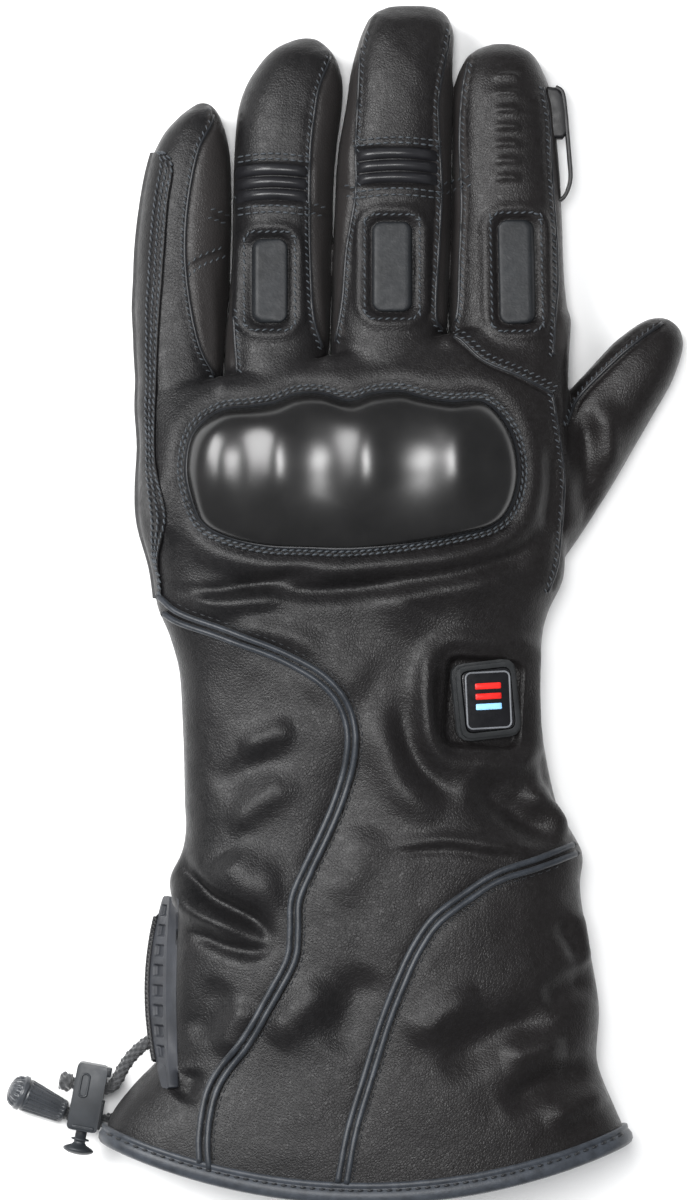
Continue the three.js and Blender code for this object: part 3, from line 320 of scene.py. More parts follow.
def tinted(colour, factors):
    """A colour times one factor, or times one for each channel."""
    return tuple((np.array(colour) * factors).tolist())


def leather_finish(name, dark, light, roughness):
    """Drummed leather: small pebbles and pores, soft creases, uneven dye, a warmer tone towards the thumb's
    side that also carries painted shade darkening that side, and lighter gussets."""
    finish = Finish(name, light, roughness, Specular_IOR_Level=0.2, Sheen_Weight=0.02, Sheen_Roughness=0.4)
    pebbles = finish.cells(1150)
    broad = finish.noise(38, 5, 0.6)
    fine = finish.noise(900, 3, 0.6)
    dye = finish.mix(finish.ramp(broad, (0.33, 0.0), (0.7, 1.0)), dark, light)
    # Towards the thumb's side the dye turns warmer and darker: the warmth is the leather's own tone, the
    # darkening is painted shade where the light falls off.
    across = finish.node("ShaderNodeSeparateXYZ", {"Vector": finish.place()}).outputs["X"]
    warm_tone_and_shade = {"Value": across, "From Min": -0.04, "From Max": 0.06, "To Max": 0.6}
    side = finish.node("ShaderNodeMapRange", warm_tone_and_shade).outputs[0]
    dye = finish.mix(side, dye, tinted(light, (0.86, 0.72, 0.64)))
    dye = finish.mix(finish.attribute("gusset"), dye, tinted(light, (2.3, 2.2, 2.05)))
    dye = finish.mix(finish.ramp(fine, (0.4, 0.0), (0.75, 0.35)), dye, tinted(light, 1.8))
    finish.link(dye, "Base Color")
    gloss = finish.ramp(finish.noise(420, 4, 0.65), (0.3, roughness - 0.08), (0.75, roughness + 0.1))
    finish.link(gloss, "Roughness")
    finish.bump(finish.noise(160, 4, 0.6, distort=0.6), 0.35 * MM, 0.55)
    finish.bump(finish.ramp(pebbles, (0.0, 0.0), (0.22, 1.0)), 0.06 * MM, 0.6)
    finish.bump(fine, 0.09 * MM, 0.35)
    return finish.material


def trim_finish(name, colour, roughness):
    """Edge leather and thread: slightly blue, with fine grain."""
    finish = Finish(name, colour, roughness, Specular_IOR_Level=0.32, Sheen_Weight=0.05)
    uneven = finish.ramp(finish.noise(300, 4, 0.6), (0.3, tinted(colour, 0.6)), (0.72, tinted(colour, 1.35)))
    finish.link(uneven, "Base Color")
    finish.bump(finish.noise(1500, 3, 0.6), 0.08 * MM, 0.6)
    return finish.material


def moulded_finish(name, colour, roughness, grain=0.03, per_metre=2600, level=0.35):
    """Moulded plastic or rubber: fine spark-eroded grain and slight rub marks."""
    finish = Finish(name, colour, roughness, Specular_IOR_Level=level)
    worn = finish.ramp(finish.noise(120, 5, 0.6), (0.35, tinted(colour, 0.8)), (0.7, tinted(colour, 1.3)))
    finish.link(worn, "Base Color")
    if grain:
        gloss = finish.ramp(finish.noise(500, 3, 0.5), (0.3, roughness - 0.05), (0.75, roughness + 0.08))
        finish.link(gloss, "Roughness")
        finish.bump(finish.noise(per_metre, 2, 0.5), grain * MM, 0.5)
    return finish.material


def cloth_finish(name, colour, roughness, per_metre):
    """Woven or braided yarn: fine speckle in colour and height."""
    finish = Finish(name, colour, roughness, Sheen_Weight=0.5, Sheen_Roughness=0.5)
    speckle = finish.noise(per_metre, 3, 0.7)
    yarn = finish.ramp(speckle, (0.35, tinted(colour, 0.5)), (0.75, tinted(colour, 2.2)))
    finish.link(yarn, "Base Color")
    finish.bump(speckle, 0.15 * MM, 0.8)
    return finish.material


LEATHER = leather_finish("leather", (0.0034, 0.0034, 0.0038), (0.0082, 0.0078, 0.0082), 0.4)
TRIM = trim_finish("trim_leather", (0.017, 0.02, 0.025), 0.4)
RIM = trim_finish("rim_leather", (0.008, 0.009, 0.011), 0.4)
HEM_LEATHER = trim_finish("hem_leather", (0.026, 0.03, 0.037), 0.42)
THREAD = trim_finish("thread", (0.035, 0.041, 0.048), 0.5)
DARK_THREAD = trim_finish("dark_thread", (0.009, 0.01, 0.012), 0.5)
GUARD_SHELL = moulded_finish("guard_shell", (0.006, 0.0058, 0.0058), 0.27, grain=0, level=0.5)
PAD_RUBBER = moulded_finish(
    "pad_rubber", (0.008, 0.009, 0.0105), 0.5, grain=0.12, per_metre=1300, level=0.25,
)
FLEX_RUBBER = moulded_finish("flex_rubber", (0.01, 0.01, 0.0115), 0.33, grain=0.04)
GREY_RUBBER = moulded_finish("grey_rubber", (0.018, 0.0198, 0.0245), 0.55)
BLACK_RUBBER = moulded_finish("black_rubber", (0.006, 0.006, 0.0068), 0.45)
BEZEL_RUBBER = moulded_finish("bezel_rubber", (0.016, 0.017, 0.018), 0.33)
LOCK_PLASTIC = moulded_finish("lock_plastic", (0.02, 0.0225, 0.026), 0.4)
BELL_PLASTIC = moulded_finish("bell_plastic", (0.034, 0.037, 0.042), 0.3, level=0.5)
BUTTON_FACE = moulded_finish("button_face", (0.004, 0.004, 0.005), 0.3)
BUTTON_EDGE = moulded_finish("button_edge", (0.11, 0.115, 0.125), 0.4)
RED_LIGHT = moulded_finish("red_light", (0.55, 0.015, 0.012), 0.35)
BLUE_LIGHT = moulded_finish("blue_light", (0.24, 0.5, 0.8), 0.35)
CORD_YARN = cloth_finish("cord_yarn", (0.022, 0.023, 0.025), 0.7, 2500)
LINING_CLOTH = cloth_finish("lining_cloth", (0.012, 0.012, 0.013), 0.9, 1800)


# Camera

CAMERA_HEIGHT = 2.2
VIEW_LEVEL = 18 * MM  # the height that the plan's size is true at
SENSOR_HEIGHT = 24


def add_camera():
    """Straight above the plan's middle, with a lens that takes in the plan's height."""
    data = bpy.data.cameras.new("camera")
    data.sensor_fit = "VERTICAL"
    data.sensor_height = SENSOR_HEIGHT
    data.lens = SENSOR_HEIGHT * (CAMERA_HEIGHT - VIEW_LEVEL) / (PLAN_HEIGHT * PIXEL)
    data.clip_end = 20
    camera = bpy.data.objects.new("camera", data)
    x, y = spot(PLAN_MIDDLE)
    camera.location = (x, y, CAMERA_HEIGHT)
    bpy.context.collection.objects.link(camera)
    bpy.context.scene.camera = camera


add_camera()


# Drawcord, its lock and its bell

CORD_RADIUS = 1.7 * MM
CORD_THROUGH_LOCK = np.array([
    (-52.5, -138.6, 16.5), (-56.5, -140.6, 16.4), (-60.5, -143.1, 16), (-64.4, -146.4, 15),
    (-67.3, -150.2, 13.6), (-69.3, -154, 12), (-71.4, -156.4, 10.95), (-74.5, -156.55, 10.7),
    (-77.22, -156.05, 10.7), (-79.9, -155.55, 10.7), (-84.3, -154.74, 10.7),
]) * MM
CORD_TO_BELL = np.array([
    (-54, -158.6, 9), (-58, -160.6, 7.4), (-62, -162.6, 5.4), (-66, -164.4, 3.7), (-70, -165.8, 2.4),
    (-74, -166.5, 1.9), (-78, -166.4, 2.2), (-82.1, -165.26, 2.95), (-84.8, -164, 3.4),
    (-87.5, -162.74, 3.84), (-93, -160.18, 4.73),
]) * MM
LOCK_AT = np.array([-77.8, -159.2, 10.7]) * MM
LOCK_TURN = -10.5  # degrees
LOCK_END = 9.6 * MM  # from the lock's middle to the face that the plunger comes out of
BELL_AT, BELL_TIP = CORD_TO_BELL[8], CORD_TO_BELL[10]


def braided(name, path, radii, strands=6, pitch=2.6 * MM, deep=0.3 * MM):
    """A braid: radius + deep * (0.7 cos(2 pi u) + 0.45 cos(2 pi v) - 0.2), where u and v are
    strands * turn + run / pitch and strands * turn - run / pitch."""
    run = np.concatenate([[0], np.cumsum(np.linalg.norm(np.diff(path, axis=0), axis=1))])[:, None]
    angle = -2 * np.pi * np.arange(48) / 48
    turn = strands * angle / (2 * np.pi)
    waves = 0.7 * np.cos(2 * np.pi * (turn + run / pitch)) + 0.45 * np.cos(2 * np.pi * (turn - run / pitch))
    radius = np.broadcast_to(radii, (len(path),))[:, None] + deep * (waves - 0.2)
    profile = np.stack([radius * np.cos(angle), radius * np.sin(angle)], -1)
    return tube_piece(name, sweep(path, profile, (0, 0, 1)), CORD_YARN)


def in_lock(points):
    """Places in the lock's own frame, x across, y away from its plunger and z up, to the glove's."""
    c, s = math.cos(math.radians(LOCK_TURN)), math.sin(math.radians(LOCK_TURN))
    return np.asarray(points) @ np.array([(c, s, 0), (-s, c, 0), (0, 0, 1)]) + LOCK_AT


def turned_piece(name, profile, start, heading, material, points=40, flute=None):
    """A turned piece from rows of (radius, run along its axis) in mm; flute gives how deep each
    row is cut and how many times round: radius - depth * (0.5 + 0.5 cos(count * angle))^2."""
    rows = np.array(profile) * MM
    heading = np.asarray(heading) / np.linalg.norm(heading)
    side = np.cross(heading, (0, 0, 1))
    side /= np.linalg.norm(side)
    lift = np.cross(side, heading)
    angle = -2 * np.pi * np.arange(points) / points
    radius = np.repeat(rows[:, :1], points, 1)
    if flute is not None:
        depth, count = flute
        cut = (0.5 + 0.5 * np.cos(np.outer(count, angle))) ** 2
        radius = radius - np.asarray(depth)[:, None] * MM * cut
    rings = (
        np.asarray(start) + rows[:, 1, None, None] * heading
        + radius[..., None] * (np.cos(angle)[:, None] * side + np.sin(angle)[:, None] * lift)
    )
    return tube_piece(name, rings, material)


def merged_copy(node, name, material, bevel):
    """A copy of one of the glove's solids, with its corners joined and its edges rounded."""
    shape = bmesh.new()
    shape.from_mesh(frame["nodes"][node].data)
    bmesh.ops.remove_doubles(shape, verts=shape.verts, dist=0.02 * MM)
    bmesh.ops.dissolve_limit(shape, angle_limit=math.radians(1), verts=shape.verts, edges=shape.edges)
    mesh = bpy.data.meshes.new(name)
    shape.to_mesh(mesh)
    shape.free()
    mesh.materials.clear()
    mesh.materials.append(material)
    mesh.polygons.foreach_set("material_index", np.zeros(len(mesh.polygons), int))
    mesh.polygons.foreach_set("use_smooth", np.ones(len(mesh.polygons), bool))
    piece = bpy.data.objects.new(name, mesh)
    bpy.context.collection.objects.link(piece)
    rounding = piece.modifiers.new("rounding", "BEVEL")
    rounding.width, rounding.segments, rounding.harden_normals = bevel, 3, True
    rounding.limit_method, rounding.angle_limit = "ANGLE", math.radians(35)
    return piece


def slot_ring():
    """The oblong ring round the mouth in the lock's face: a slot's outline in mm in the lock's frame."""
    angle = np.linspace(0, 2 * np.pi, 24, endpoint=False)
    x, y = 1.15 * np.cos(angle), 1.15 * np.sin(angle)
    apart = 2.2 * np.sign(np.sin(angle)) * (np.abs(np.sin(angle)) > 0.05)
    return np.stack([x - 1.5, y + 3.4 + apart, 0 * x + 5.0], 1)


def block_piece(name, placed, centre, size, material):
    """A rounded block: a closed stack of rounded outlines drawn in at its bottom and top."""
    width, length, height = (d / 2 for d in size)
    levels = (
        (0.35, -height), (0, -height + 0.35), (0, height - 0.35), (0.12, height - 0.1), (0.35, height),
    )
    rings = []
    for inset, up in levels:
        outline = rounded_outline((width - inset, length - inset), 0.3, points=4)
        level = np.full((len(outline), 1), up)
        rings.append(np.concatenate([outline, level], 1) + centre)
    return tube_piece(name, placed(np.array(rings) * MM), material)


def add_lock():
    """The lock's body: a rounded block with two flanks, a lip at its lower end and a ring round its
    mouth."""
    body = merged_copy("cord_lock", "lock_body", LOCK_PLASTIC, 0.5 * MM)
    flanks = [
        block_piece("flank", in_lock, (x, y, z), (w, h, d), LOCK_PLASTIC)
        for x, y, z, w, h, d in (
            (4.3, 8.1, 0.6, 2.2, 2.6, 5.6), (4.4, -4.4, 0.2, 1.3, 8.4, 5.2), (0.2, -8.6, 5.0, 6.4, 1.2, 0.8),
        )
    ]
    ring = route(in_lock(slot_ring() * MM), 0.35 * MM, closed=True)
    ring = sweep(ring, circle(8, 0.34 * MM), (0, 0, 1), closed=True)
    rim = tube_piece("rim", ring, LOCK_PLASTIC, loop=True)
    return fitted(joined("lock_body", [body, *flanks, rim]), "lock_plastic", "cord_lock")


def add_plunger():
    """The plunger: a stem with two collars and a wide cap."""
    down = in_lock([(0, -1, 0)])[0] - LOCK_AT
    plunger = turned_piece("lock_plunger_cap", [
        (1.55, -4.0), (1.6, 0.0), (1.6, 2.3), (2.55, 2.45), (2.6, 2.9), (1.7, 3.05), (1.65, 3.6), (2.1, 4.2),
        (3.7, 4.9), (4.35, 5.4), (4.4, 5.8), (4.1, 6.2), (2.8, 6.8), (1.2, 7.05),
    ], LOCK_AT + down * LOCK_END, down, LOCK_PLASTIC, 36)
    return fitted(plunger, "lock_plastic", "cord_lock_plunger", body="lock_plunger")


def add_knot():
    """The knot beside the lock: a short fat braid with round ends, (1 - |2u - 1|^7)^0.5."""
    run = np.linspace(0, 1, 22)
    path = in_lock(np.stack([-5.0 - 4.0 * run, np.full(22, 3.2), 0 * run], 1) * MM)
    radii = 2.45 * MM * (1 - np.abs(2 * run - 1) ** 7) ** 0.5 + 0.12 * MM
    knot = braided("drawcord_knot", path, radii, strands=5, deep=0.35 * MM)
    return fitted(knot, "cord_fabric", "cord_knot")


def add_bell():
    """The fluted bell: 22 flutes on its cone, a smooth collar, and a ribbed dome."""
    mouth = [10.8, 6, 0.4, 0.0, 0.0, 0.5]
    run = np.concatenate([mouth, np.linspace(0.9, 12.0, 26), np.linspace(12.1, 17.45, 30)])
    radius = np.interp(run, [0, 0.5, 12.6, 12.95, 14.1, 14.3, 15.6, 16.7, 17.2, 17.45],
                       [3.0, 3.35, 4.85, 5.15, 5.15, 4.75, 4.45, 3.5, 2.3, 0.8])
    radius[:4] = (1.75, 1.75, 1.8, 2.0)
    cone = smooth(0.8, 1.8, run) * (1 - smooth(11.4, 12.1, run))
    dome = smooth(14.4, 14.9, run) * (1 - smooth(16.8, 17.3, run))
    depth = 0.5 * cone + 0.42 * dome
    groove = 0.35 * np.exp(-(((run - 12.5) / 0.22) ** 2))
    depth[:4] = groove[:4] = 0
    count = np.where(run > 13, 15, 22)
    bell = turned_piece("drawcord_bell", np.stack([radius - groove, run], 1), BELL_AT, BELL_TIP - BELL_AT,
                        BELL_PLASTIC, 132, (depth, count))
    return fitted(bell, "lock_plastic", "cord_bell")


def add_drawcord():
    """The drawcord's two ends: one through the lock to its knot, one to the bell."""
    to_lock = route(CORD_THROUGH_LOCK, 0.25 * MM)
    to_bell = route(CORD_TO_BELL, 0.25 * MM)
    lock_cord = braided("drawcord_to_lock", to_lock, CORD_RADIUS)
    bell_cord = braided("drawcord_to_bell", to_bell, CORD_RADIUS)
    body, plunger, knot, bell = add_lock(), add_plunger(), add_knot(), add_bell()
    pieces = (
        (lock_cord, "cord_through_lock", to_lock, "knot", [knot, body, plunger]),
        (bell_cord, "cord_to_bell", to_bell, "fitting", [bell]),
    )
    for piece, node, path, end, on_it in pieces:
        fitted(piece, "cord_fabric", node)


add_drawcord()


# Sizes of the leather

PALM_WIDTH, PALM_LENGTH, HAND_HEIGHT = 123 * MM, 90 * MM, 39 * MM
CUFF_WIDTH, CUFF_LENGTH, CUFF_HEIGHT = 149.6 * MM, 150.5 * MM, 45 * MM
WRIST_Y = -36.5 * MM
HEM_Y = WRIST_Y - CUFF_LENGTH
KNUCKLE_Y = WRIST_Y + PALM_LENGTH
KNUCKLE_SLOPE = 0.19  # how far the knuckles' line leans forward towards the thumb's side
OVAL, BOXY = 0.84, 0.5  # the power of a section's cosine and sine: the lower, the squarer

# at (from the wrist, a share of the palm's length), left, right (of its width), top (of the hand's height)
PALM_SECTIONS = np.array([
    (0.00, -0.420, 0.419, 0.98),
    (0.12, -0.445, 0.424, 0.98),
    (0.20, -0.471, 0.442, 0.99),
    (0.28, -0.477, 0.471, 1.00),
    (0.36, -0.489, 0.476, 1.00),
    (0.44, -0.507, 0.480, 1.00),
    (0.55, -0.517, 0.493, 1.00),
    (0.71, -0.512, 0.482, 0.95),
    (0.86, -0.511, 0.484, 0.84),
    (1.00, -0.520, 0.492, 0.72),
])
# at (back from the wrist, a share of the cuff's length), left, right (of its width), top, base (of its
# height) and bow, how far the hem's corners curve forward (of its width)
CUFF_SECTIONS = np.array([
    (-1.000, -0.489, 0.511, 1.00, 0.045, 0.105),
    (-0.934, -0.472, 0.490, 1.00, 0.035, 0.094),
    (-0.857, -0.425, 0.464, 0.99, 0.010, 0.077),
    (-0.794, -0.380, 0.450, 0.98, 0.000, 0.060),
    (-0.726, -0.370, 0.453, 0.97, 0.000, 0.040),
    (-0.665, -0.370, 0.455, 0.97, 0.000, 0.027),
    (-0.557, -0.362, 0.440, 0.96, 0.000, 0.013),
    (-0.453, -0.356, 0.423, 0.94, 0.000, 0.005),
    (-0.400, -0.364, 0.419, 0.93, 0.000, 0.000),
    (-0.354, -0.341, 0.425, 0.92, 0.000, 0.000),
    (-0.307, -0.332, 0.400, 0.90, 0.000, 0.000),
    (-0.259, -0.334, 0.374, 0.89, 0.000, 0.000),
    (-0.165, -0.336, 0.354, 0.87, 0.000, 0.000),
    (-0.094, -0.339, 0.345, 0.86, 0.000, 0.000),
])
# Edges of each finger on the plan: row, left, right, from the crotch to the tip
LITTLE_EDGES = [
    (450, 141, 222), (381, 138, 222), (330, 135, 226), (280, 135, 229), (230, 138, 231), (180, 145, 231),
    (155, 151, 230), (130, 163, 226), (115, 176, 221), (105, 188, 216), (100, 196, 210),
]
RING_EDGES = [
    (430, 226, 324), (356, 224, 328), (300, 229, 331), (250, 232, 332), (200, 233, 333), (150, 234, 336),
    (105, 238, 342), (80, 247, 343), (55, 263, 337), (43, 277, 328), (36, 297, 319),
]
MIDDLE_EDGES = [
    (430, 335, 444), (345, 330, 446), (300, 332, 449), (250, 333, 450), (200, 335, 451), (150, 338, 452),
    (105, 346, 453), (80, 349, 453), (55, 354, 453), (30, 361, 455), (15, 368, 450), (8, 376, 445),
    (4, 388, 434),
]
INDEX_EDGES = [
    (430, 455, 566), (337, 449, 570), (280, 450, 565), (230, 451, 563), (180, 452, 561), (130, 453, 557),
    (105, 453, 555), (80, 455, 549), (55, 465, 538), (47, 475, 530), (42, 490, 516),
]
# at (a share of the length), top and base (of the height)
FINGER_SECTIONS = np.array([
    (-0.30, 1.12, 0.00),
    (0.00, 1.10, 0.00),
    (0.25, 1.00, 0.00),
    (0.55, 0.97, 0.00),
    (0.72, 0.94, 0.00),
    (0.83, 0.90, 0.01),
    (0.91, 0.83, 0.05),
    (0.965, 0.74, 0.14),
    (1.00, 0.58, 0.32),
])
FINGER_HEIGHTS = {"little": 23 * MM, "ring": 26 * MM, "middle": 27 * MM, "index": 26 * MM}
THUMB_LENGTH, THUMB_WIDTH, THUMB_HEIGHT = 73 * MM, 29 * MM, 23 * MM
THUMB_ROOT = (46.1 * MM, 3.8 * MM)
THUMB_SPREAD = math.radians(36.6)
# at (a share of the thumb's length), width, top and base (of its width and height)
THUMB_SECTIONS = np.array([
    (-0.16, 1.05, 1.12, 0.00),
    (0.10, 1.04, 1.10, 0.00),
    (0.35, 0.95, 1.00, 0.00),
    (0.60, 0.81, 0.92, 0.00),
    (0.80, 0.70, 0.86, 0.01),
    (0.91, 0.56, 0.79, 0.07),
    (0.97, 0.42, 0.70, 0.16),
    (1.00, 0.25, 0.56, 0.30),
])


def between(table, at):
    """Rows of a section table carried to each place in at: a cubic whose slope at a row is half the
    difference of the rows beside it."""
    i = np.clip(np.searchsorted(table[:, 0], at, side="right") - 1, 0, len(table) - 2)
    t = ((at - table[i, 0]) / (table[i + 1, 0] - table[i, 0]))[:, None]
    before, low = table[np.maximum(i - 1, 0)], table[i]
    high, after = table[i + 1], table[np.minimum(i + 2, len(table) - 1)]
    bend, bend_next = (high - before) / 2, (after - low) / 2
    return (
        (2 * t**3 - 3 * t**2 + 1) * low + (t**3 - 2 * t**2 + t) * bend
        + (3 * t**2 - 2 * t**3) * high + (t**3 - t**2) * bend_next
    )


def section(half, top, base, points, roundness=OVAL):
    """Sideways and height of closed outlines: half * cos^r across, and above and below the widest
    place at 45% of the height times sin^r, cut off flat at the base where the leather lies."""
    angle = -2 * np.pi * np.arange(points)[None] / points
    half, top, base = (np.asarray(v, float).reshape(-1, 1) for v in (half, top, base))
    power = np.asarray(roundness, float).reshape(-1, 1)
    across = np.sign(np.cos(angle)) * np.abs(np.cos(angle)) ** power
    up = np.sign(np.sin(angle)) * np.abs(np.sin(angle)) ** power
    widest = base + (top - base) * 0.45
    above = widest + (top - widest) * up
    below = np.maximum(widest + (widest - base) * 1.3 * up, base)
    return half * across, np.where(up >= 0, above, below)


def body_table():
    """The sections of cuff and hand as lengths: y, left, right, top, base, bow, slope, roundness."""
    cuff, palm = CUFF_SECTIONS, PALM_SECTIONS
    nothing = np.zeros(len(palm))
    rise = smooth(0.3, 1, palm[:, 0]) * KNUCKLE_SLOPE
    box = OVAL + (BOXY - OVAL) * smooth(0.4, 1, palm[:, 0])
    back = np.stack([
        WRIST_Y + cuff[:, 0] * CUFF_LENGTH, cuff[:, 1] * CUFF_WIDTH, cuff[:, 2] * CUFF_WIDTH,
        cuff[:, 3] * CUFF_HEIGHT, cuff[:, 4] * CUFF_HEIGHT, cuff[:, 5] * CUFF_WIDTH,
        np.zeros(len(cuff)), np.full(len(cuff), OVAL),
    ], 1)
    front = np.stack([
        WRIST_Y + palm[:, 0] * PALM_LENGTH, palm[:, 1] * PALM_WIDTH, palm[:, 2] * PALM_WIDTH,
        palm[:, 3] * HAND_HEIGHT, nothing, nothing, rise, box,
    ], 1)
    return np.concatenate([back, front])


BODY = body_table()


def body_rings(stations, points, offset=0.0):
    """Rings of cuff and hand: each a section whose points go forward by slope * x and by
    bow * (sideways / half)^2."""
    _, left, right, top, base, bow, slope, power = between(BODY, stations).T
    half = (right - left) / 2
    side, height = section(half + offset, top + offset, base - offset, points, power)
    x = (left + right)[:, None] / 2 + side
    forward = slope[:, None] * x + bow[:, None] * (side / half[:, None]) ** 2
    return np.stack([x, stations[:, None] + forward, height], -1)


def finger_rings(edges, height, points, offset):
    """Rings of a finger between its edges on the plan, from behind the crotch to the tip."""
    rows = np.array(edges, float)
    y = (PLAN_ORIGIN[1] - rows[:, 0]) * PIXEL
    middle = (rows[:, 1:] - PLAN_ORIGIN[0]).mean(1) * PIXEL
    table = np.stack([y, middle, np.ptp(rows[:, 1:], 1) * PIXEL / 2], 1)
    stations = np.concatenate([np.linspace(y[0], y[-4], 24, endpoint=False), np.linspace(y[-4], y[-1], 10)])
    _, centre, half = between(table, stations).T
    share = (stations - y[1]) / (y[-1] - y[1])
    _, top, base = between(FINGER_SECTIONS, np.clip(share, -0.3, 1)).T
    side, up = section(half + offset, top * height + offset, base * height - offset, points)
    stations = stations + offset * smooth(0.7, 1, share)
    return np.stack([centre[:, None] + side, np.broadcast_to(stations[:, None], side.shape), up], -1)


def thumb_rings(points, offset):
    """Rings of the thumb, square to its axis."""
    at = np.linspace(THUMB_SECTIONS[0, 0], 1, 30)
    _, width, top, base = between(THUMB_SECTIONS, at).T
    side, up = section(
        width * THUMB_WIDTH / 2 + offset, top * THUMB_HEIGHT + offset, base * THUMB_HEIGHT - offset, points,
    )
    reach = (at * THUMB_LENGTH + offset * smooth(0.7, 1, at))[:, None]
    x = THUMB_ROOT[0] + reach * math.sin(THUMB_SPREAD) + side * math.cos(THUMB_SPREAD)
    y = THUMB_ROOT[1] + reach * math.cos(THUMB_SPREAD) - side * math.sin(THUMB_SPREAD)
    return np.stack([x, y, up], -1)


# Leather shell

VOXEL = 1.05 * MM
SLIM = 1.1 * MM  # the shell is joined this much slimmer and then filled out
SEAM_BAND = 2.0 * MM  # the mesh is twice as fine this near a seam
RELAX_ROUNDS = 7
HEM_CUT = 2.4 * MM  # the leather ends this far behind the hem, under the binding
HEM_MIDDLE, HEM_BOW = 1.65 * MM, 15.7 * MM


def evaluated(piece):
    """The mesh of an object with its modifiers, as arrays of places and four-cornered faces."""
    mesh = piece.evaluated_get(bpy.context.evaluated_depsgraph_get()).to_mesh()
    places = np.empty(len(mesh.vertices) * 3)
    mesh.vertices.foreach_get("co", places)
    corners = np.empty(len(mesh.loops), int)
    mesh.loops.foreach_get("vertex_index", corners)
    return places.reshape(-1, 3), corners.reshape(-1, 4)


def joined_tubes():
    """Cuff, hand, fingers and thumb as one skin, all slimmer by SLIM: closed tubes, joined by voxels."""
    stations = np.linspace(HEM_Y + SLIM, KNUCKLE_Y - SLIM, 110)
    tubes = [body_rings(stations, 96, -SLIM)]
    for edges, finger in (
        (LITTLE_EDGES, "little"), (RING_EDGES, "ring"), (MIDDLE_EDGES, "middle"), (INDEX_EDGES, "index"),
    ):
        tubes.append(finger_rings(edges, FINGER_HEIGHTS[finger], 48, -SLIM))
    tubes.append(thumb_rings(48, -SLIM))
    rough = joined("tubes", [tube_piece("tube", rings, LEATHER) for rings in tubes])
    remesh = rough.modifiers.new("voxels", "REMESH")
    remesh.mode = "VOXEL"
    remesh.voxel_size = VOXEL
    places, faces = evaluated(rough)
    bpy.data.objects.remove(rough)
    return places, faces


def edges_of(faces):
    """Each edge of four-cornered faces once, as pairs of vertices."""
    pairs = np.stack([faces, np.roll(faces, -1, 1)], -1).reshape(-1, 2)
    return np.unique(np.sort(pairs, 1), axis=0)


def relaxed(places, edges, rounds):
    """Each vertex goes halfway to the mean of its neighbours, rounds times."""
    count = np.bincount(edges.ravel(), minlength=len(places))[:, None]
    for _ in range(rounds):
        total = np.stack([
            np.bincount(edges[:, 0], places[edges[:, 1], k], len(places))
            + np.bincount(edges[:, 1], places[edges[:, 0], k], len(places))
            for k in range(3)
        ], 1)
        places = 0.5 * places + 0.5 * total / count
    return places


def normals_of(places, faces):
    """Unit normals at the vertices: the sum of the crossed diagonals of the faces round each."""
    corner = places[faces]
    face = np.cross(corner[:, 2] - corner[:, 0], corner[:, 3] - corner[:, 1])
    total = np.stack([
        sum(np.bincount(faces[:, c], face[:, k], len(places)) for c in range(4)) for k in range(3)
    ], 1)
    return total / np.maximum(np.linalg.norm(total, axis=1, keepdims=True), 1e-12)


def refined(places, faces, chosen):
    """Splits the chosen four-cornered faces in four. A neighbour with a split edge becomes a fan of
    triangles round its middle, each written with its last corner twice."""
    count = len(places)
    edges = edges_of(faces[chosen])
    key = edges[:, 0] * count + edges[:, 1]
    pair = np.sort(np.stack([faces, np.roll(faces, -1, 1)], -1), -1)
    wanted = pair[..., 0] * count + pair[..., 1]
    found = np.minimum(np.searchsorted(key, wanted), len(key) - 1)
    middle = np.where(key[found] == wanted, count + found, -1)
    touched = (middle >= 0).any(1)
    whole = (middle >= 0).all(1)
    centre = np.full(len(faces), -1)
    centre[touched] = count + len(edges) + np.arange(touched.sum())
    places = np.concatenate([places, places[edges].mean(1), places[faces[touched]].mean(1)])
    made = [faces[~touched]]
    for k in range(4):
        corner, after = faces[:, k], faces[:, (k + 1) % 4]
        split, before = middle[:, k], middle[:, k - 1]
        made.append(np.stack([corner, split, centre, before], 1)[whole])
        part = touched & ~whole
        open_edge = part & (split < 0)
        made.append(np.stack([corner, after, centre, centre], 1)[open_edge])
        cut = part & (split >= 0)
        made.append(np.stack([corner, split, centre, centre], 1)[cut])
        made.append(np.stack([split, after, centre, centre], 1)[cut])
    return places, np.concatenate(made)


def skin_piece(name, places, faces, material):
    """A mesh from four-cornered faces, where a triangle has its last corner twice; faces that use
    few of the places take only those."""
    used, faces = np.unique(faces, return_inverse=True)
    faces = faces.reshape(-1, 4)
    triangle = faces[:, 2] == faces[:, 3]
    listed = faces[~triangle].tolist() + faces[triangle, :3].tolist()
    return new_piece(name, places[used], listed, material), used


# Seams, folds and recesses of the leather, on the plan

LITTLE_SEAM = [
    (210, 102), (212, 121), (198, 151), (188, 202), (185, 253), (190, 305), (200, 349), (214, 376),
]
RING_LEFT_SEAM = [(243, 84), (235, 120), (232, 176), (235, 216), (231, 266), (235, 330), (238, 372)]
RING_RIGHT_SEAM = [
    (328, 44), (330, 56), (319, 87), (314, 116), (310, 154), (309, 221), (310, 266), (313, 317), (322, 348),
]
MIDDLE_LEFT_SEAM = [
    (376, 8), (367, 30), (361, 54), (358, 108), (356, 152), (356, 195), (347, 250), (343, 300), (336, 342),
]
MIDDLE_RIGHT_SEAM = [
    (452, 18), (446, 54), (438, 98), (438, 130), (441, 184), (439, 238), (435, 314), (442, 330),
]
INDEX_LEFT_SEAM = [(470, 58), (463, 90), (460, 140), (462, 200), (460, 260), (458, 310), (452, 334)]
INDEX_RIGHT_SEAM = [
    (543, 88), (549, 120), (551, 160), (553, 200), (556, 240), (557, 282), (555, 307), (552, 356),
]
KNUCKLE_SEAM = [(449, 337), (460, 341), (483, 362), (518, 377), (551, 394)]
HAND_SIDE_SEAM = [
    (551, 396), (555, 420), (558, 437), (562, 467), (563, 493), (560, 532), (556, 566), (547, 592),
]
THUMB_SEAM = [(666, 320), (635, 343), (610, 365), (578, 398), (566, 425)]
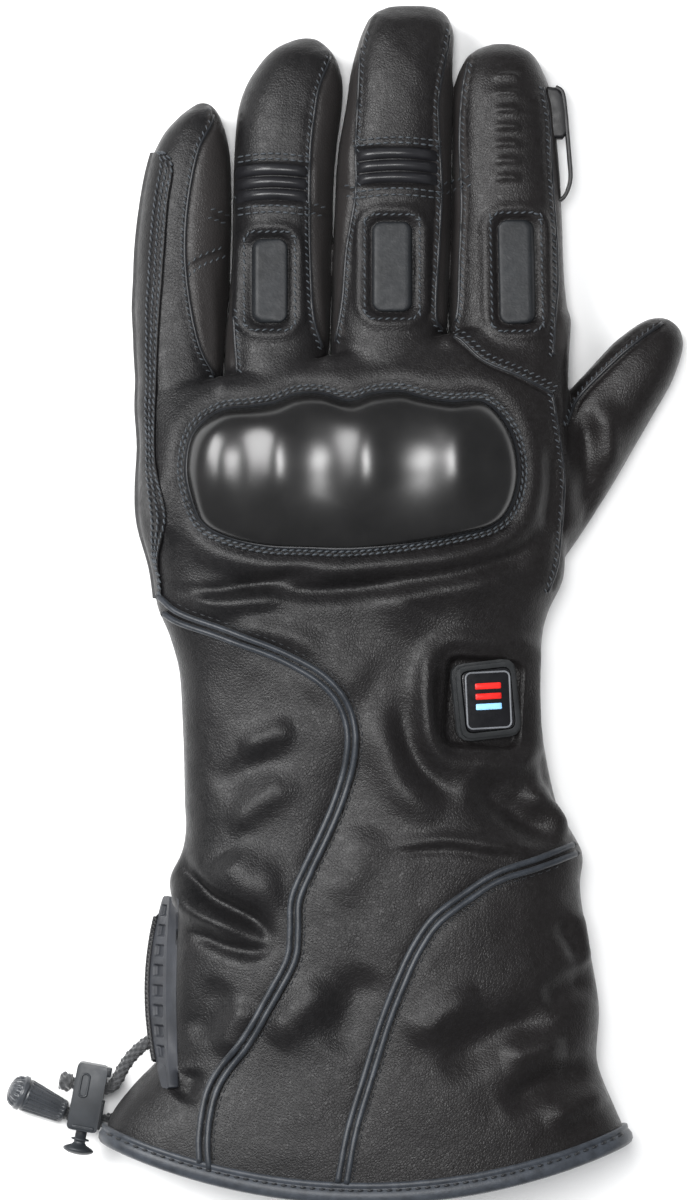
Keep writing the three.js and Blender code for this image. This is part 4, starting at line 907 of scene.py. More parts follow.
OUTER_PIPING = [
    (159, 600), (179, 616), (219, 631), (268, 649), (298, 663), (323, 679), (341, 699),
    (351, 728), (350, 758), (341, 792), (327, 827), (308, 867), (296, 897), (295, 927), (292, 955),
    (275, 989), (248, 1035), (220, 1074), (209, 1104), (205, 1138), (208, 1176),
]
INNER_PIPING = [
    (571, 849), (534, 862), (497, 874), (468, 892), (436, 916), (416, 944), (401, 976),
    (384, 1020), (367, 1074), (352, 1124), (342, 1176),
]
GUARD_EDGE = [
    (221, 412), (250, 408), (274, 404), (299, 395), (322, 395), (349, 402), (373, 395), (400, 393),
    (423, 399), (450, 403), (483, 403), (505, 425), (515, 450), (517, 480), (509, 508), (492, 526),
    (457, 536), (404, 545), (350, 550), (309, 549), (267, 547), (229, 538), (204, 524), (192, 498),
    (187, 467), (195, 433),
]
GUARD_RIM = 2.9 * MM  # width of the stitched rim round the guard
BUTTON_RECESS = {"centre": (482, 702), "half": (38, 44), "turn": 4.0, "corner": 12}
RING_PAD = {"centre": (270, 282), "half": (18, 42), "turn": 0.0, "corner": 10}
MIDDLE_PAD = {"centre": (392, 268), "half": (20, 45), "turn": 0.0, "corner": 10}
INDEX_PAD = {"centre": (516, 273), "half": (18, 52), "turn": -1.0, "corner": 10}
RING_RIBS = {"centre": (271, 184.5), "half": (38, 18.5), "turn": 0.0}
MIDDLE_RIBS = {"centre": (397, 168), "half": (42, 18), "turn": 0.0}

# Turned edges: the line, and the side that lies on top (1 on its left, -1 on its right)
FINGER_SEAMS = [
    (LITTLE_SEAM, -1), (RING_LEFT_SEAM, 1), (RING_RIGHT_SEAM, -1), (MIDDLE_LEFT_SEAM, 1),
    (MIDDLE_RIGHT_SEAM, -1), (INDEX_LEFT_SEAM, 1), (INDEX_RIGHT_SEAM, -1),
]
LAPPED_SEAMS = FINGER_SEAMS + [(KNUCKLE_SEAM, 1), (HAND_SIDE_SEAM, -1), (THUMB_SEAM, -1)]
CROSS_SEAMS = [
    [(187, 272), (200, 262), (218, 254), (228, 250)], [(212, 214), (226, 219), (237, 226)],
    [(308, 208), (322, 212), (334, 218)], [(334, 186), (344, 190), (356, 195)],
    [(440, 190), (454, 185), (468, 182)],
]
FOLD_DEPTH = 1.35 * MM
# Folds: rise in mm (below 0 a crease), half width in mm, and the line
FOLDS = [
    # round the guard
    (0.9, 5.6, [
        (176, 452), (186, 410), (222, 391), (300, 377), (400, 370), (470, 375), (521, 402), (540, 446),
    ]),
    (1.2, 4.6, [
        (182, 505), (206, 548), (262, 565), (330, 571), (400, 566), (470, 556), (520, 530), (536, 488),
    ]),
    (-2.2, 3.0, [(196, 566), (250, 583), (320, 590), (400, 582), (470, 570), (525, 548), (548, 508)]),
    (1.4, 3.0, [(176, 584), (215, 603), (255, 600), (300, 590)]),
    (-1.5, 2.0, [(168, 588), (196, 592), (240, 588), (285, 577), (330, 572)]),
    (1.2, 4.0, [(220, 628), (270, 632), (330, 650)]),
    (1.6, 5.0, [(420, 640), (400, 600), (440, 585), (520, 575)]),
    # wrist
    (1.8, 3.0, [(432, 640), (425, 668), (424, 702), (432, 742), (450, 764)]),
    (-1.2, 3.4, [(399, 690), (404, 728), (417, 758), (440, 784), (466, 800)]),
    (1.6, 5.0, [(380, 700), (384, 742), (400, 784), (440, 820)]),
    (-2.6, 5.0, [(468, 778), (500, 800), (536, 822), (560, 838)]),
    (2.4, 3.4, [(520, 790), (548, 808), (572, 834)]),
    (2.6, 5.0, [(546, 752), (560, 778), (560, 800)]),
    (-2.0, 2.2, [(541, 752), (548, 782), (566, 812)]),
    (1.0, 2.6, [(390, 846), (444, 840), (491, 846), (534, 850)]),
    (-1.0, 1.6, [(385, 852), (444, 846), (491, 853), (540, 856)]),
    # outer cuff
    (-3.4, 2.6, [(180, 850), (188, 876), (206, 895), (230, 906), (258, 920), (274, 941)]),
    (2.4, 4.0, [(176, 876), (192, 904), (222, 920), (250, 934)]),
    (-1.8, 2.2, [(186, 925), (222, 941), (250, 948), (277, 943)]),
    (2.0, 7.0, [(224, 850), (250, 880), (286, 884)]),
    (1.4, 4.0, [(240, 752), (268, 738), (296, 722)]),
    (-1.0, 4.0, [(216, 790), (250, 766), (290, 752)]),
    (1.2, 4.0, [(228, 830), (262, 800), (300, 780)]),
    (1.2, 4.0, [(226, 1054), (236, 1024), (254, 996)]),
    (-1.2, 5.0, [(196, 1040), (206, 1010), (226, 976)]),
    (-1.6, 4.0, [(180, 1096), (188, 1082), (190, 1064)]),
    # middle of the cuff
    (-1.3, 9.0, [(352, 740), (338, 800), (336, 860), (346, 900)]),
    (1.0, 8.0, [(300, 690), (330, 670), (372, 690)]),
    (1.6, 5.0, [(272, 1040), (300, 1008), (330, 975)]),
    (-1.6, 6.0, [(330, 1050), (350, 1010), (366, 960)]),
    (1.4, 6.0, [(330, 900), (352, 860), (372, 820)]),
    # inner cuff
    (1.6, 5.0, [(412, 1040), (440, 1010), (480, 990)]),
    (-2.2, 6.0, [(440, 1070), (478, 1038), (520, 1020), (560, 1012)]),
    (1.6, 4.0, [(500, 1056), (532, 1044), (566, 1040)]),
    (-2.0, 4.0, [(540, 1000), (570, 984), (596, 976)]),
    (1.6, 3.4, [(564, 906), (580, 930), (590, 966)]),
    (-1.4, 2.4, [(556, 916), (572, 940), (580, 962)]),
    (-2.0, 4.0, [(500, 1104), (540, 1080), (596, 1062)]),
    (1.6, 4.0, [(540, 1118), (580, 1100), (612, 1092)]),
    # hand's side and thumb
    (1.4, 3.0, [(160, 470), (163, 510), (172, 546)]),
    (-1.4, 2.4, [(548, 440), (552, 480), (546, 540)]),
    (-2.4, 4.0, [(580, 400), (588, 440), (590, 470), (585, 526)]),
    (1.4, 4.0, [(600, 400), (606, 440), (604, 480)]),
]
# Plain raised bars on the index fingertip, slightly slanted: rows from the tip down
FINGER_BARS = [[(492, row + 3), (507, row), (522, row + 3)] for row in range(76, 180, 17)]
# Rolled edges of the gussets on both sides of each crotch: they join in a loop at its end
GUSSET_ROLLS = [
    [(210, 262), (214, 300), (216, 350), (221, 386), (228, 376), (236, 340), (240, 290), (236, 230)],
    [(324, 222), (320, 270), (321, 320), (328, 362), (336, 340), (340, 290), (343, 240), (345, 196)],
    [(440, 190), (443, 240), (440, 300), (447, 345), (455, 320), (458, 270), (458, 230)],
]


def stroke_height(plan, line, half_width, rise):
    """A fold along a line: rise * exp(-(distance / half width)^2), fading out towards both ends."""
    curve = route(spot(line), 3 * MM)
    near = around(plan, curve, 3 * half_width)
    height = np.zeros(len(plan))
    gap, _, run = beside(plan[near], curve)
    share = run / length_of(curve)
    fade = smooth(-0.05, 0.3, share) * smooth(-0.05, 0.3, 1 - share)
    height[near] = rise * np.exp(-((gap / half_width) ** 2)) * fade
    return height


def lap_height(plan, line, over):
    """A turned edge: a step of 0.55 mm that dies away behind it by exp(-gap / 5 mm), a groove in front
    of it, and a dimple under each stitch."""
    curve = route(spot(line), 2 * MM)
    near = around(plan, curve, 12 * MM)
    height = np.zeros(len(plan))
    gap, side, run = beside(plan[near], curve)
    gap = gap * side * over
    fade = smooth(0, 2 * MM, run) * smooth(0, 2 * MM, length_of(curve) - run)
    step = 0.55 * MM * (0.5 + 0.5 * np.tanh(gap / (0.35 * MM))) * np.exp(-np.maximum(gap, 0) / (5 * MM))
    groove = -0.5 * MM * np.exp(-(((gap + 0.7 * MM) / (0.8 * MM)) ** 2))
    dimple = 0.5 + 0.5 * np.cos(2 * np.pi * run / (3.1 * MM))
    stitched = -0.22 * MM * np.exp(-(((gap - 1.5 * MM) / (0.7 * MM)) ** 2)) * (0.4 + 0.6 * dimple)
    height[near] = (step + groove + stitched) * fade
    return height


def recess_height(gap, floor, lip, lip_at, lip_half):
    """A recess: floor below inside the outline, and a raised lip around it at lip_at."""
    inside = floor * (1 - smooth(-0.9 * MM, 0.7 * MM, gap))
    return inside + lip * np.exp(-(((gap - lip_at) / lip_half) ** 2))


def box_gap(plan, shape, grow=0.0):
    """Signed distance to the round-cornered outline of a pad, panel or recess, grown by grow."""
    half = np.array(shape["half"]) * PIXEL + grow
    corner = shape.get("corner", 5) * PIXEL + grow
    return rounded_box(plan, spot(shape["centre"]), half, -shape["turn"], corner)


def outline_gap(plan, line):
    """Signed distance to a closed outline, below 0 inside, for the places near it."""
    curve = route(spot(line), 2 * MM, closed=True)
    closed = np.concatenate([curve, curve[:1]])
    gap = np.full(len(plan), 1.0)
    near = around(plan, curve, 14 * MM)
    distance, side, _ = beside(plan[near], closed)
    gap[near] = distance * side
    return gap


def emboss(places, normals):
    """How far each place of the leather moves along its normal, and how much it is gusset leather."""
    plan = places[:, :2]
    above = smooth(0.12, 0.5, normals[:, 2])
    height = np.zeros(len(places))
    for rise, half_width, line in FOLDS:
        height += stroke_height(plan, line, half_width * MM, FOLD_DEPTH * rise)
    for line in GUSSET_ROLLS:
        height += stroke_height(plan, line, 1.6 * MM, 0.7 * MM)
    for line, over in LAPPED_SEAMS:
        height += lap_height(plan, line, over)
    for line in CROSS_SEAMS:
        height += stroke_height(plan, line, 0.8 * MM, -0.6 * MM)
    for line in FINGER_BARS:
        height += stroke_height(plan, line, 1.1 * MM, 0.7 * MM)
    for line in (OUTER_PIPING, INNER_PIPING):
        height += stroke_height(plan, line, 3.0 * MM, -0.7 * MM)
    for shape in (RING_PAD, MIDDLE_PAD, INDEX_PAD):
        height += recess_height(box_gap(plan, shape, 1.1 * MM), -0.9 * MM, 0.75 * MM, 2.4 * MM, 1.3 * MM)
    for shape in (RING_RIBS, MIDDLE_RIBS):
        height += recess_height(box_gap(plan, shape, 0.2 * MM), -1.0 * MM, 0.15 * MM, 1.7 * MM, 1.0 * MM)
    height += recess_height(box_gap(plan, BUTTON_RECESS), -2.0 * MM, 1.3 * MM, 5.0 * MM, 3.0 * MM)
    guard = outline_gap(plan, GUARD_EDGE)
    height += recess_height(guard - GUARD_RIM, -0.6 * MM, 0.25 * MM, 2.6 * MM, 2.0 * MM)
    height += 0.35 * MM * lumps(places, 16 * MM, 3) + 0.16 * MM * lumps(places, 6 * MM, 4)
    return height * above * smooth(5 * MM, 16 * MM, behind_hem(plan)), gusset_share(plan)


def gusset_share(plan):
    """1 on the gussets, the strips between the back of each finger and its palm side."""
    share = np.zeros(len(plan))
    for line, over in FINGER_SEAMS:
        curve = route(spot(line), 3 * MM)
        near = around(plan, curve, 9 * MM)
        gap, side, run = beside(plan[near], curve)
        fade = smooth(0, 3 * MM, run) * smooth(0, 3 * MM, length_of(curve) - run)
        beyond = smooth(-0.2 * MM, 0.4 * MM, -gap * side * over) * (gap < 8 * MM)
        share[near] = np.maximum(share[near], beyond * fade)
    return share


def behind_hem(plan):
    """How far each place lies behind the hem: y - bow * ((x - middle) / half)^2, less the hem's y."""
    share = (plan[:, 0] - HEM_MIDDLE) / (CUFF_WIDTH / 2)
    return plan[:, 1] - HEM_BOW * share**2 - HEM_Y


def near_seams(plan):
    """Which places lie near enough to a seam, a bar or a recess to need the finer mesh."""
    near = np.zeros(len(plan), bool)
    for line in [seam for seam, _ in LAPPED_SEAMS] + CROSS_SEAMS + FINGER_BARS:
        curve = route(spot(line), 3 * MM)
        box = around(plan, curve, SEAM_BAND)
        near[box] |= beside(plan[box], curve)[0] < SEAM_BAND
    for shape in (RING_PAD, MIDDLE_PAD, INDEX_PAD, RING_RIBS, MIDDLE_RIBS, BUTTON_RECESS):
        near |= np.abs(box_gap(plan, shape, 1.0 * MM)) < SEAM_BAND
    return near


def leather_skin():
    """The glove's leather, as places, faces and how much of each place is gusset: joined tubes,
    relaxed, filled out, made finer near the seams and embossed."""
    places, faces = joined_tubes()
    places = relaxed(places, edges_of(faces), RELAX_ROUNDS)
    places = places + SLIM * normals_of(places, faces)
    upper = normals_of(places, faces)[:, 2] > 0.1
    chosen = near_seams(places[:, :2]) & upper
    places, faces = refined(places, faces, chosen[faces].all(1))
    normals = normals_of(places, faces)
    height, gusset = emboss(places, normals)
    return places + height[:, None] * normals, faces, gusset


def add_leather():
    """The leather as one padded piece, open at the hem."""
    places, faces, gusset = leather_skin()
    kept = behind_hem(places[:, :2]) > HEM_CUT
    shell, used = skin_piece("leather_shell", places, faces[kept[faces].all(1)], LEATHER)
    shell.data.attributes.new("gusset", "FLOAT", "POINT").data.foreach_set("value", gusset[used])
    return fitted(
        shell, "leather", "palm_panel", "back_panel", "outer_cuff_panel", "inner_cuff_panel",
        "little_finger", "ring_finger", "middle_finger", "index_finger", "thumb",
    )


leather = add_leather()


# The leather's upper surface as a height over the plan, for what lies on it

PROBE_HEIGHT = 0.2
SLOPE_REACH = 1.2 * MM


class Relief:
    """Heights of a surface seen from above, on a square grid, read between the grid's points by
    weighting the four round a place."""

    def __init__(self, target, step):
        corners = np.array(target.bound_box)[:, :2]
        self.low, self.step = corners.min(0), step
        counts = np.ceil((corners.max(0) - self.low) / step).astype(int) + 1
        across, up = np.meshgrid(*(np.arange(c) for c in counts), indexing="ij")
        grid = np.stack([across, up], -1).reshape(-1, 2) * step + self.low
        start = np.concatenate([grid, np.full((len(grid), 1), PROBE_HEIGHT)], 1)
        probe = new_piece("probe", start, [], LEATHER)
        drop = probe.modifiers.new("drop", "SHRINKWRAP")
        drop.target, drop.wrap_method = target, "PROJECT"
        drop.use_project_z, drop.use_negative_direction, drop.use_positive_direction = True, True, False
        places, _ = evaluated(probe)
        bpy.data.objects.remove(probe)
        heights = places[:, 2].reshape(counts)
        self.heights = np.where(heights > PROBE_HEIGHT - MM, 0, heights)

    def softened(self, reach):
        """A copy with each height the mean over a square of that half width, three times."""
        copy = object.__new__(Relief)
        copy.low, copy.step = self.low, self.step
        width = int(reach / self.step)
        heights = self.heights
        for axis in (0, 1) * 3:
            padded = np.concatenate([np.repeat(heights.take([0], axis), width + 1, axis), heights,
                                     np.repeat(heights.take([-1], axis), width, axis)], axis)
            sums = np.cumsum(padded, axis)
            size = heights.shape[axis]
            top = sums.take(np.arange(2 * width + 1, 2 * width + 1 + size), axis)
            heights = (top - sums.take(np.arange(size), axis)) / (2 * width + 1)
        copy.heights = heights
        return copy

    def height(self, plan):
        """The surface's height at places of the plan."""
        cell = (np.asarray(plan) - self.low) / self.step
        limit = np.array(self.heights.shape) - 2
        i = np.clip(np.floor(cell).astype(int), 0, limit)
        t = np.clip(cell - i, 0, 1)
        x, y = i[..., 0], i[..., 1]
        near = self.heights[x, y] * (1 - t[..., 0]) + self.heights[x + 1, y] * t[..., 0]
        far = self.heights[x, y + 1] * (1 - t[..., 0]) + self.heights[x + 1, y + 1] * t[..., 0]
        return near * (1 - t[..., 1]) + far * t[..., 1]

    def normal(self, plan):
        """Unit normals from the heights SLOPE_REACH to each side."""
        slope = [
            (self.height(plan + step) - self.height(plan - step)) / (2 * SLOPE_REACH)
            for step in SLOPE_REACH * np.eye(2)
        ]
        up = np.stack([-slope[0], -slope[1], np.ones(slope[0].shape)], -1)
        return up / np.linalg.norm(up, axis=-1, keepdims=True)

    def lay(self, plan, rise=0.0):
        """Places on the surface over a plan, rise above it along its normal."""
        plan = np.asarray(plan)
        ground = np.concatenate([plan, self.height(plan)[..., None]], -1)
        return ground + np.asarray(rise)[..., None] * self.normal(plan)

    def holds(self, plan):
        """Whether a place lies on the glove's upper side, clear of its edge and of the finger gaps."""
        return (self.height(plan) > 12 * MM) & (self.normal(plan)[..., 2] > 0.24)

    def kept(self, plan):
        """The longest stretch of a line that the upper side holds."""
        good = np.concatenate([[False], self.holds(plan), [False]])
        starts, ends = np.flatnonzero(good[1:] & ~good[:-1]), np.flatnonzero(~good[1:] & good[:-1])
        longest = (ends - starts).argmax()
        return plan[starts[longest]:ends[longest]]


relief = Relief(leather, 0.6 * MM)
soft_relief = relief.softened(6 * MM)


def stitches(name, lines, material, pitch, long, thick, rise, slant=0.0, ground=None):
    """Threads along lines on the plan, in mm and degrees: each is a spindle with six sides whose ends
    dip by 0.9 (x / half)^2 of its half thickness, laid between two places of the surface."""
    ground = ground or relief
    rings = np.array([(-0.75, 0.75), (0.0, 1.0), (0.75, 0.75)])
    angle = -2 * np.pi * np.arange(6) / 6
    x = np.repeat(rings[:, 0], 6)
    side, up = (np.outer(rings[:, 1], f(angle)).ravel() for f in (np.cos, np.sin))
    x, side, up = np.append(x, (-1, 1)), np.append(side, (0, 0)), np.append(up, (0, 0))
    up = up - 0.9 * x**2
    sides = quads(3, 6)
    fans = [(18, (k + 1) % 6, k) for k in range(6)] + [(19, 12 + k, 12 + (k + 1) % 6) for k in range(6)]
    spots = []
    for line, closed in lines:
        curve = route(line, pitch * MM, closed)
        along = headings(curve, closed)
        if slant:
            turn = math.radians(slant)
            square = np.stack([-along[:, 1], along[:, 0]], 1)
            along = along * math.cos(turn) + square * math.sin(turn)
        spots.append(np.stack([curve - along * long * MM / 2, curve + along * long * MM / 2], 1))
    ends = np.concatenate(spots)
    ends = ends[ground.holds(ends).all(1)]
    start, end = ground.lay(ends[:, 0], rise * MM), ground.lay(ends[:, 1], rise * MM)
    forward = (end - start) / 2
    lift = ground.normal(ends.mean(1))
    across = np.cross(forward, lift)
    across /= np.linalg.norm(across, axis=1, keepdims=True)
    half = thick * MM / 2
    verts = (
        ((start + end) / 2)[:, None] + x[None, :, None] * forward[:, None]
        + side[None, :, None] * half * across[:, None] + up[None, :, None] * half * lift[:, None]
    )
    shift = 20 * np.arange(len(verts))[:, None, None]
    sides = (sides[None] + shift).reshape(-1, 4).tolist()
    fans = (np.array(fans)[None] + shift).reshape(-1, 3).tolist()
    fitted(new_piece(name, verts.reshape(-1, 3), sides + fans, material), "trim_leather")


def shifted(line, aside, step=2.0 * MM, closed=False):
    """A line on the plan moved to its left by aside."""
    curve = route(line, step, closed)
    along = headings(curve, closed)
    return curve + aside * np.stack([-along[:, 1], along[:, 0]], 1)


# Knuckle guard

GUARD_RISE = 8.6 * MM
GUARD_CREST_ROW = 466  # its crest on the plan
KNUCKLES = (216, 277, 366, 459)  # its four ridges across the plan
KNUCKLE_SPREAD = 25  # in plan units
KNUCKLE_RIDGE = 1.9 * MM


def guard_height(plan, share):
    """Top of the guard: the hand's height along the crest, raised by rise * (1 - 0.3 u^4), less
    0.62 * rise * v^2, where u and v run from the crest's middle to the edges, with ridges towards
    the fingers; a wall (1 - share^14)^0.5 falls from it to the hand."""
    outline = spot(GUARD_EDGE)
    low, high = outline.min(0), outline.max(0)
    crest = (PLAN_ORIGIN[1] - GUARD_CREST_ROW) * PIXEL
    u = (plan[..., 0] - (low[0] + high[0]) / 2) / ((high[0] - low[0]) / 2)
    v = plan[..., 1] - crest
    v = v / np.where(v > 0, high[1] - crest, crest - low[1])
    along_crest = np.stack([plan[..., 0], np.full(plan.shape[:-1], crest)], -1)
    top = soft_relief.height(along_crest) + GUARD_RISE * (1 - 0.3 * u**4 - 0.62 * v**2)
    across = spot(np.stack([KNUCKLES, np.full(len(KNUCKLES), GUARD_CREST_ROW)], 1))[:, 0]
    gap = (plan[..., :1] - across) / (KNUCKLE_SPREAD * PIXEL)
    ridges = np.exp(-(gap**2)).sum(-1) - 0.6
    top = top + KNUCKLE_RIDGE * ridges * smooth(-0.85, -0.1, v) * (1 - 0.5 * smooth(0.4, 1, v))
    hand = soft_relief.height(plan)
    return hand + (top - hand) * np.sqrt(np.maximum(1 - share**14, 0))


def add_guard():
    """The moulded shell: rings of its outline drawn in to a middle line that shrinks to a point."""
    outline = route(spot(GUARD_EDGE), 1.0 * MM, closed=True)[::-1]
    low, high = outline.min(0), outline.max(0)
    middle, half = (low + high) / 2 - (0, 11 * MM), (high - low) / 2
    share = np.sin(np.linspace(0.002, 1, 52) * np.pi / 2)[:, None, None]
    reach = (1 - half[1] / half[0]) * smooth(0, 0.4, share)
    spine = middle + (outline - middle)[None] * np.concatenate([reach, 0 * reach], -1)
    plan = spine + share * (outline - spine)
    height = guard_height(plan, share[..., 0])
    edge = relief.height(outline)
    height[-1] = edge + 0.3 * MM
    grid = np.concatenate([plan, height[..., None]], -1)
    sunk = np.concatenate([outline, (edge - 1.5 * MM)[:, None]], 1)[None]
    guard = tube_piece("knuckle_guard_shell", np.concatenate([grid, sunk])[::-1], GUARD_SHELL)
    fitted(guard, "guard_plastic", "knuckle_guard")


def add_guard_rim():
    """The rolled rim round the guard: a band with a section of offset and rise, and its two rows
    of stitches."""
    line = spot(GUARD_EDGE)
    sections = MM * np.array([
        (-0.7, -0.6), (-0.5, 0.8), (0.1, 1.3), (0.7, 1.15), (1.2, 0.8), (1.7, 1.05), (2.3, 0.95), (2.8, 0.4),
        (2.8, -0.8),
    ])
    curve = route(line, 1.3 * MM, closed=True)[::-1]
    along = headings(curve, closed=True)
    outward = np.stack([-along[:, 1], along[:, 0]], 1)
    plan = curve[:, None] + outward[:, None] * sections[None, :, :1]
    height = relief.height(plan) + sections[None, :, 1]
    rim = tube_piece("guard_rim", np.concatenate([plan, height[..., None]], -1), RIM, loop=True)
    fitted(rim, "trim_leather", "guard_frame")
    rows = [(shifted(line, aside * MM, closed=True), True) for aside in (0.9, 2.1)]
    stitches("guard_stitches", rows, THREAD, pitch=2.0, long=1.75, thick=0.62, rise=1.25, slant=16)


add_guard()
add_guard_rim()


# Finger pads and flex panels

# Inset and rise of a pad's rings, in mm
PAD_LEVELS = [
    (0, -1.2), (0, 0.9), (0.12, 1.2), (0.35, 1.45), (0.7, 1.62), (1.3, 1.7), (2.2, 1.72), (3.2, 1.72),
    (4.2, 1.72),
]
PADS = {"ring_pad": RING_PAD, "middle_pad": MIDDLE_PAD, "index_pad": INDEX_PAD}


def add_pad(name, shape):
    """A raised block on the leather: rings of its outline drawn in, whose height goes over from the
    leather's to a plane's, so that the top is level across."""
    half = np.array(shape["half"]) * PIXEL
    corner = shape["corner"] * PIXEL
    centre = spot(shape["centre"])
    ends = relief.height(centre + np.array([(0, -0.7), (0, 0.7)]) * half)
    slope = (ends[1] - ends[0]) / (1.4 * half[1])
    rings = []
    for inset, rise in np.array(PAD_LEVELS) * MM:
        ring = rounded_outline(half - inset, max(corner - inset, 0.15 * MM), -shape["turn"])
        plan = ring + centre
        under = relief.height(plan)
        top = ends.mean() + slope * ring[:, 1]
        flat = smooth(0.0, 1.3 * MM, inset)
        rings.append(np.concatenate([plan, (under + (top - under) * flat)[:, None] + rise], 1))
    fitted(tube_piece(name + "_block", np.array(rings), PAD_RUBBER), "black_rubber", name)


def add_pads():
    """The three pads and the stitched frame round each."""
    for name, shape in PADS.items():
        add_pad(name, shape)
    frames = []
    for shape in PADS.values():
        half = np.array(shape["half"]) * PIXEL + 2.1 * MM
        frames.append((rounded_outline(half, 3 * MM, -shape["turn"]) + spot(shape["centre"]), True))
    stitches("pad_stitches", frames, THREAD, pitch=2.1, long=1.6, thick=0.55, rise=0.28, slant=20)


def rib_panel(name, shape, node):
    """Three rounded ribs side by side, rise * |sin(3 pi v)|^0.55 * (1 - u^10), bowed by 0.9 mm * (1 - u^2),
    with two rows of stitches above and two below."""
    u = np.linspace(-1, 1, 40)[:, None]
    v = np.linspace(0, 1, 61)[None]
    half = np.array(shape["half"]) * PIXEL
    x = np.broadcast_to(u * half[0], (40, 61))
    y = (v * 2 - 1) * half[1] + 0.9 * MM * (1 - u**2) - 0.45 * MM
    plan = np.stack([x, y], -1) + spot(shape["centre"])
    rise = 2.1 * MM * np.abs(np.sin(3 * np.pi * v)) ** 0.55 * (1 - np.abs(u) ** 10) - 0.5 * MM
    grid = np.concatenate([plan, (relief.height(plan) + rise)[..., None]], -1)
    under = grid[:, ::-1] - (0, 0, 0.6 * MM)
    fitted(tube_piece(name, np.concatenate([grid, under], 1), FLEX_RUBBER), "black_rubber", node)
    left, right = shape["centre"][0] - shape["half"][0], shape["centre"][0] + shape["half"][0]
    top, bottom = shape["centre"][1] - shape["half"][1], shape["centre"][1] + shape["half"][1]
    rows = []
    for row in (top - 10, top - 5, bottom + 5, bottom + 11):
        line = [(left + 1, row + 2), ((left + right) / 2, row - 1), (right - 1, row + 2)]
        rows.append((spot(line), False))
    stitches(name + "_stitches", rows, THREAD, pitch=2.2, long=1.7, thick=0.55, rise=0.42)


add_pads()
rib_panel("ring_flex_ribs", RING_RIBS, "ring_flex_panel")
rib_panel("middle_flex_ribs", MIDDLE_RIBS, "middle_flex_panel")


# Seams: turned edges and their stitches


def add_seams():
    """A thin roll along each turned edge, the slanted threads beside it, a second row on the knuckle
    seam, and a row on each side of each cross seam."""
    rolls = []
    for line, _ in LAPPED_SEAMS:
        path = relief.lay(relief.kept(route(spot(line), 1.2 * MM)), 0.05 * MM)
        rolls.append(tube_piece("edge", sweep(path, circle(8, 0.48 * MM, 0.85), (0, 0, 1)), RIM))
    fitted(joined("turned_edges", rolls), "leather")
    lapped = [(shifted(spot(line), over * 0.7 * MM), False) for line, over in LAPPED_SEAMS]
    cross = [(shifted(spot(line), aside * MM), False) for line in CROSS_SEAMS for aside in (-1.3, 1.3)]
    second = [(shifted(spot(KNUCKLE_SEAM), 2.2 * MM), False)]
    for name, rows, slant in (
        ("seam_stitches", lapped, 42), ("cross_seam_stitches", cross, 30),
        ("knuckle_seam_stitches", second, 42),
    ):
        stitches(name, rows, THREAD, pitch=1.9, long=1.5, thick=0.5, rise=0.16, slant=slant)


add_seams()


# Piping and hem

PIPING_RADIUS = 0.88 * MM


def add_piping(name, line, node, outwards):
    """Two round cords side by side over a seam, whose first end turns down into the leather."""
    tubes = []
    drop = np.array([(-outwards, 0, -3.0), (outwards * 0.25, 0, -1.4)]) * MM
    for aside in (-1.25, 1.25):
        curve = relief.kept(shifted(spot(line), aside * MM, 1.4 * MM))
        path = relief.lay(curve, 0.75 * MM)
        path = route(np.concatenate([path[:1] + drop, path]), 1.2 * MM)
        tubes.append(tube_piece("tube", sweep(path, circle(14, PIPING_RADIUS), (0, 0, 1)), TRIM))
    fitted(joined(name, tubes), "trim_leather", node)


add_piping("outer_piping_cords", OUTER_PIPING, "outer_piping", -1)
add_piping("inner_piping_cords", INNER_PIPING, "inner_piping", 1)


def hem_stitches(binding):
    """The dashes near the binding's inner edge, on the upper half of the mouth, laid on the binding."""
    ring = body_rings(np.array([HEM_Y + 3.7 * MM]), 260, 1.0 * MM)[0]
    upper = ring[ring[:, 2] > 17 * MM]
    line = upper[np.argsort(upper[:, 0]), :2][4:-4:4]
    stitches(
        "hem_stitches", [(line, False)], DARK_THREAD, pitch=2.7, long=1.8, thick=0.7, rise=0.3, slant=6,
        ground=binding,
    )


def add_hem():
    """The binding: a closed section of (place behind the hem, rise over the leather) carried round
    the mouth."""
    behind, rise = MM * np.array([
        (5.9, -0.6), (5.9, 0.7), (5.5, 1.15), (4.4, 1.0), (4.1, 0.7), (3.8, 1.05), (2.4, 1.45), (0.9, 1.4),
        (0.0, 0.9), (-0.35, 0.0), (0.0, -1.2), (1.0, -2.3), (3.0, -2.9), (6.0, -3.0), (6.0, -2.2),
    ]).T
    rings = body_rings(HEM_Y + behind, 260, rise)
    hem = tube_piece("hem_edge", rings[:, ::-1], HEM_LEATHER, loop=True)
    hem_stitches(Relief(hem, 0.7 * MM))
    fitted(hem, "trim_leather", "hem_binding")


def add_lining():
    """The lining: a cup of two walls, whose offset from the leather grows behind the hem."""
    mouth, deep = HEM_Y + 2 * MM, HEM_Y + 95 * MM
    walls = [
        body_rings(stations, 96, wall - 4.5 * MM * smooth(4 * MM, 18 * MM, stations - HEM_Y))
        for stations, wall in (
            (np.linspace(deep, mouth, 24), -2.4 * MM), (np.linspace(mouth, deep - 2 * MM, 24), -3.3 * MM),
        )
    ]
    fitted(tube_piece("lining", np.concatenate(walls)[:, ::-1], LINING_CLOTH), "cord_fabric")


def add_piping_stitches():
    """A row of dark threads beside each piping."""
    rows = [(shifted(spot(line), 2.9 * MM)[3:-1], False) for line in (OUTER_PIPING, INNER_PIPING)]
    stitches("piping_stitches", rows, DARK_THREAD, pitch=2.4, long=1.7, thick=0.42, rise=0.12)


add_hem()
add_lining()
add_piping_stitches()


# Side strip, tab, wiper and control

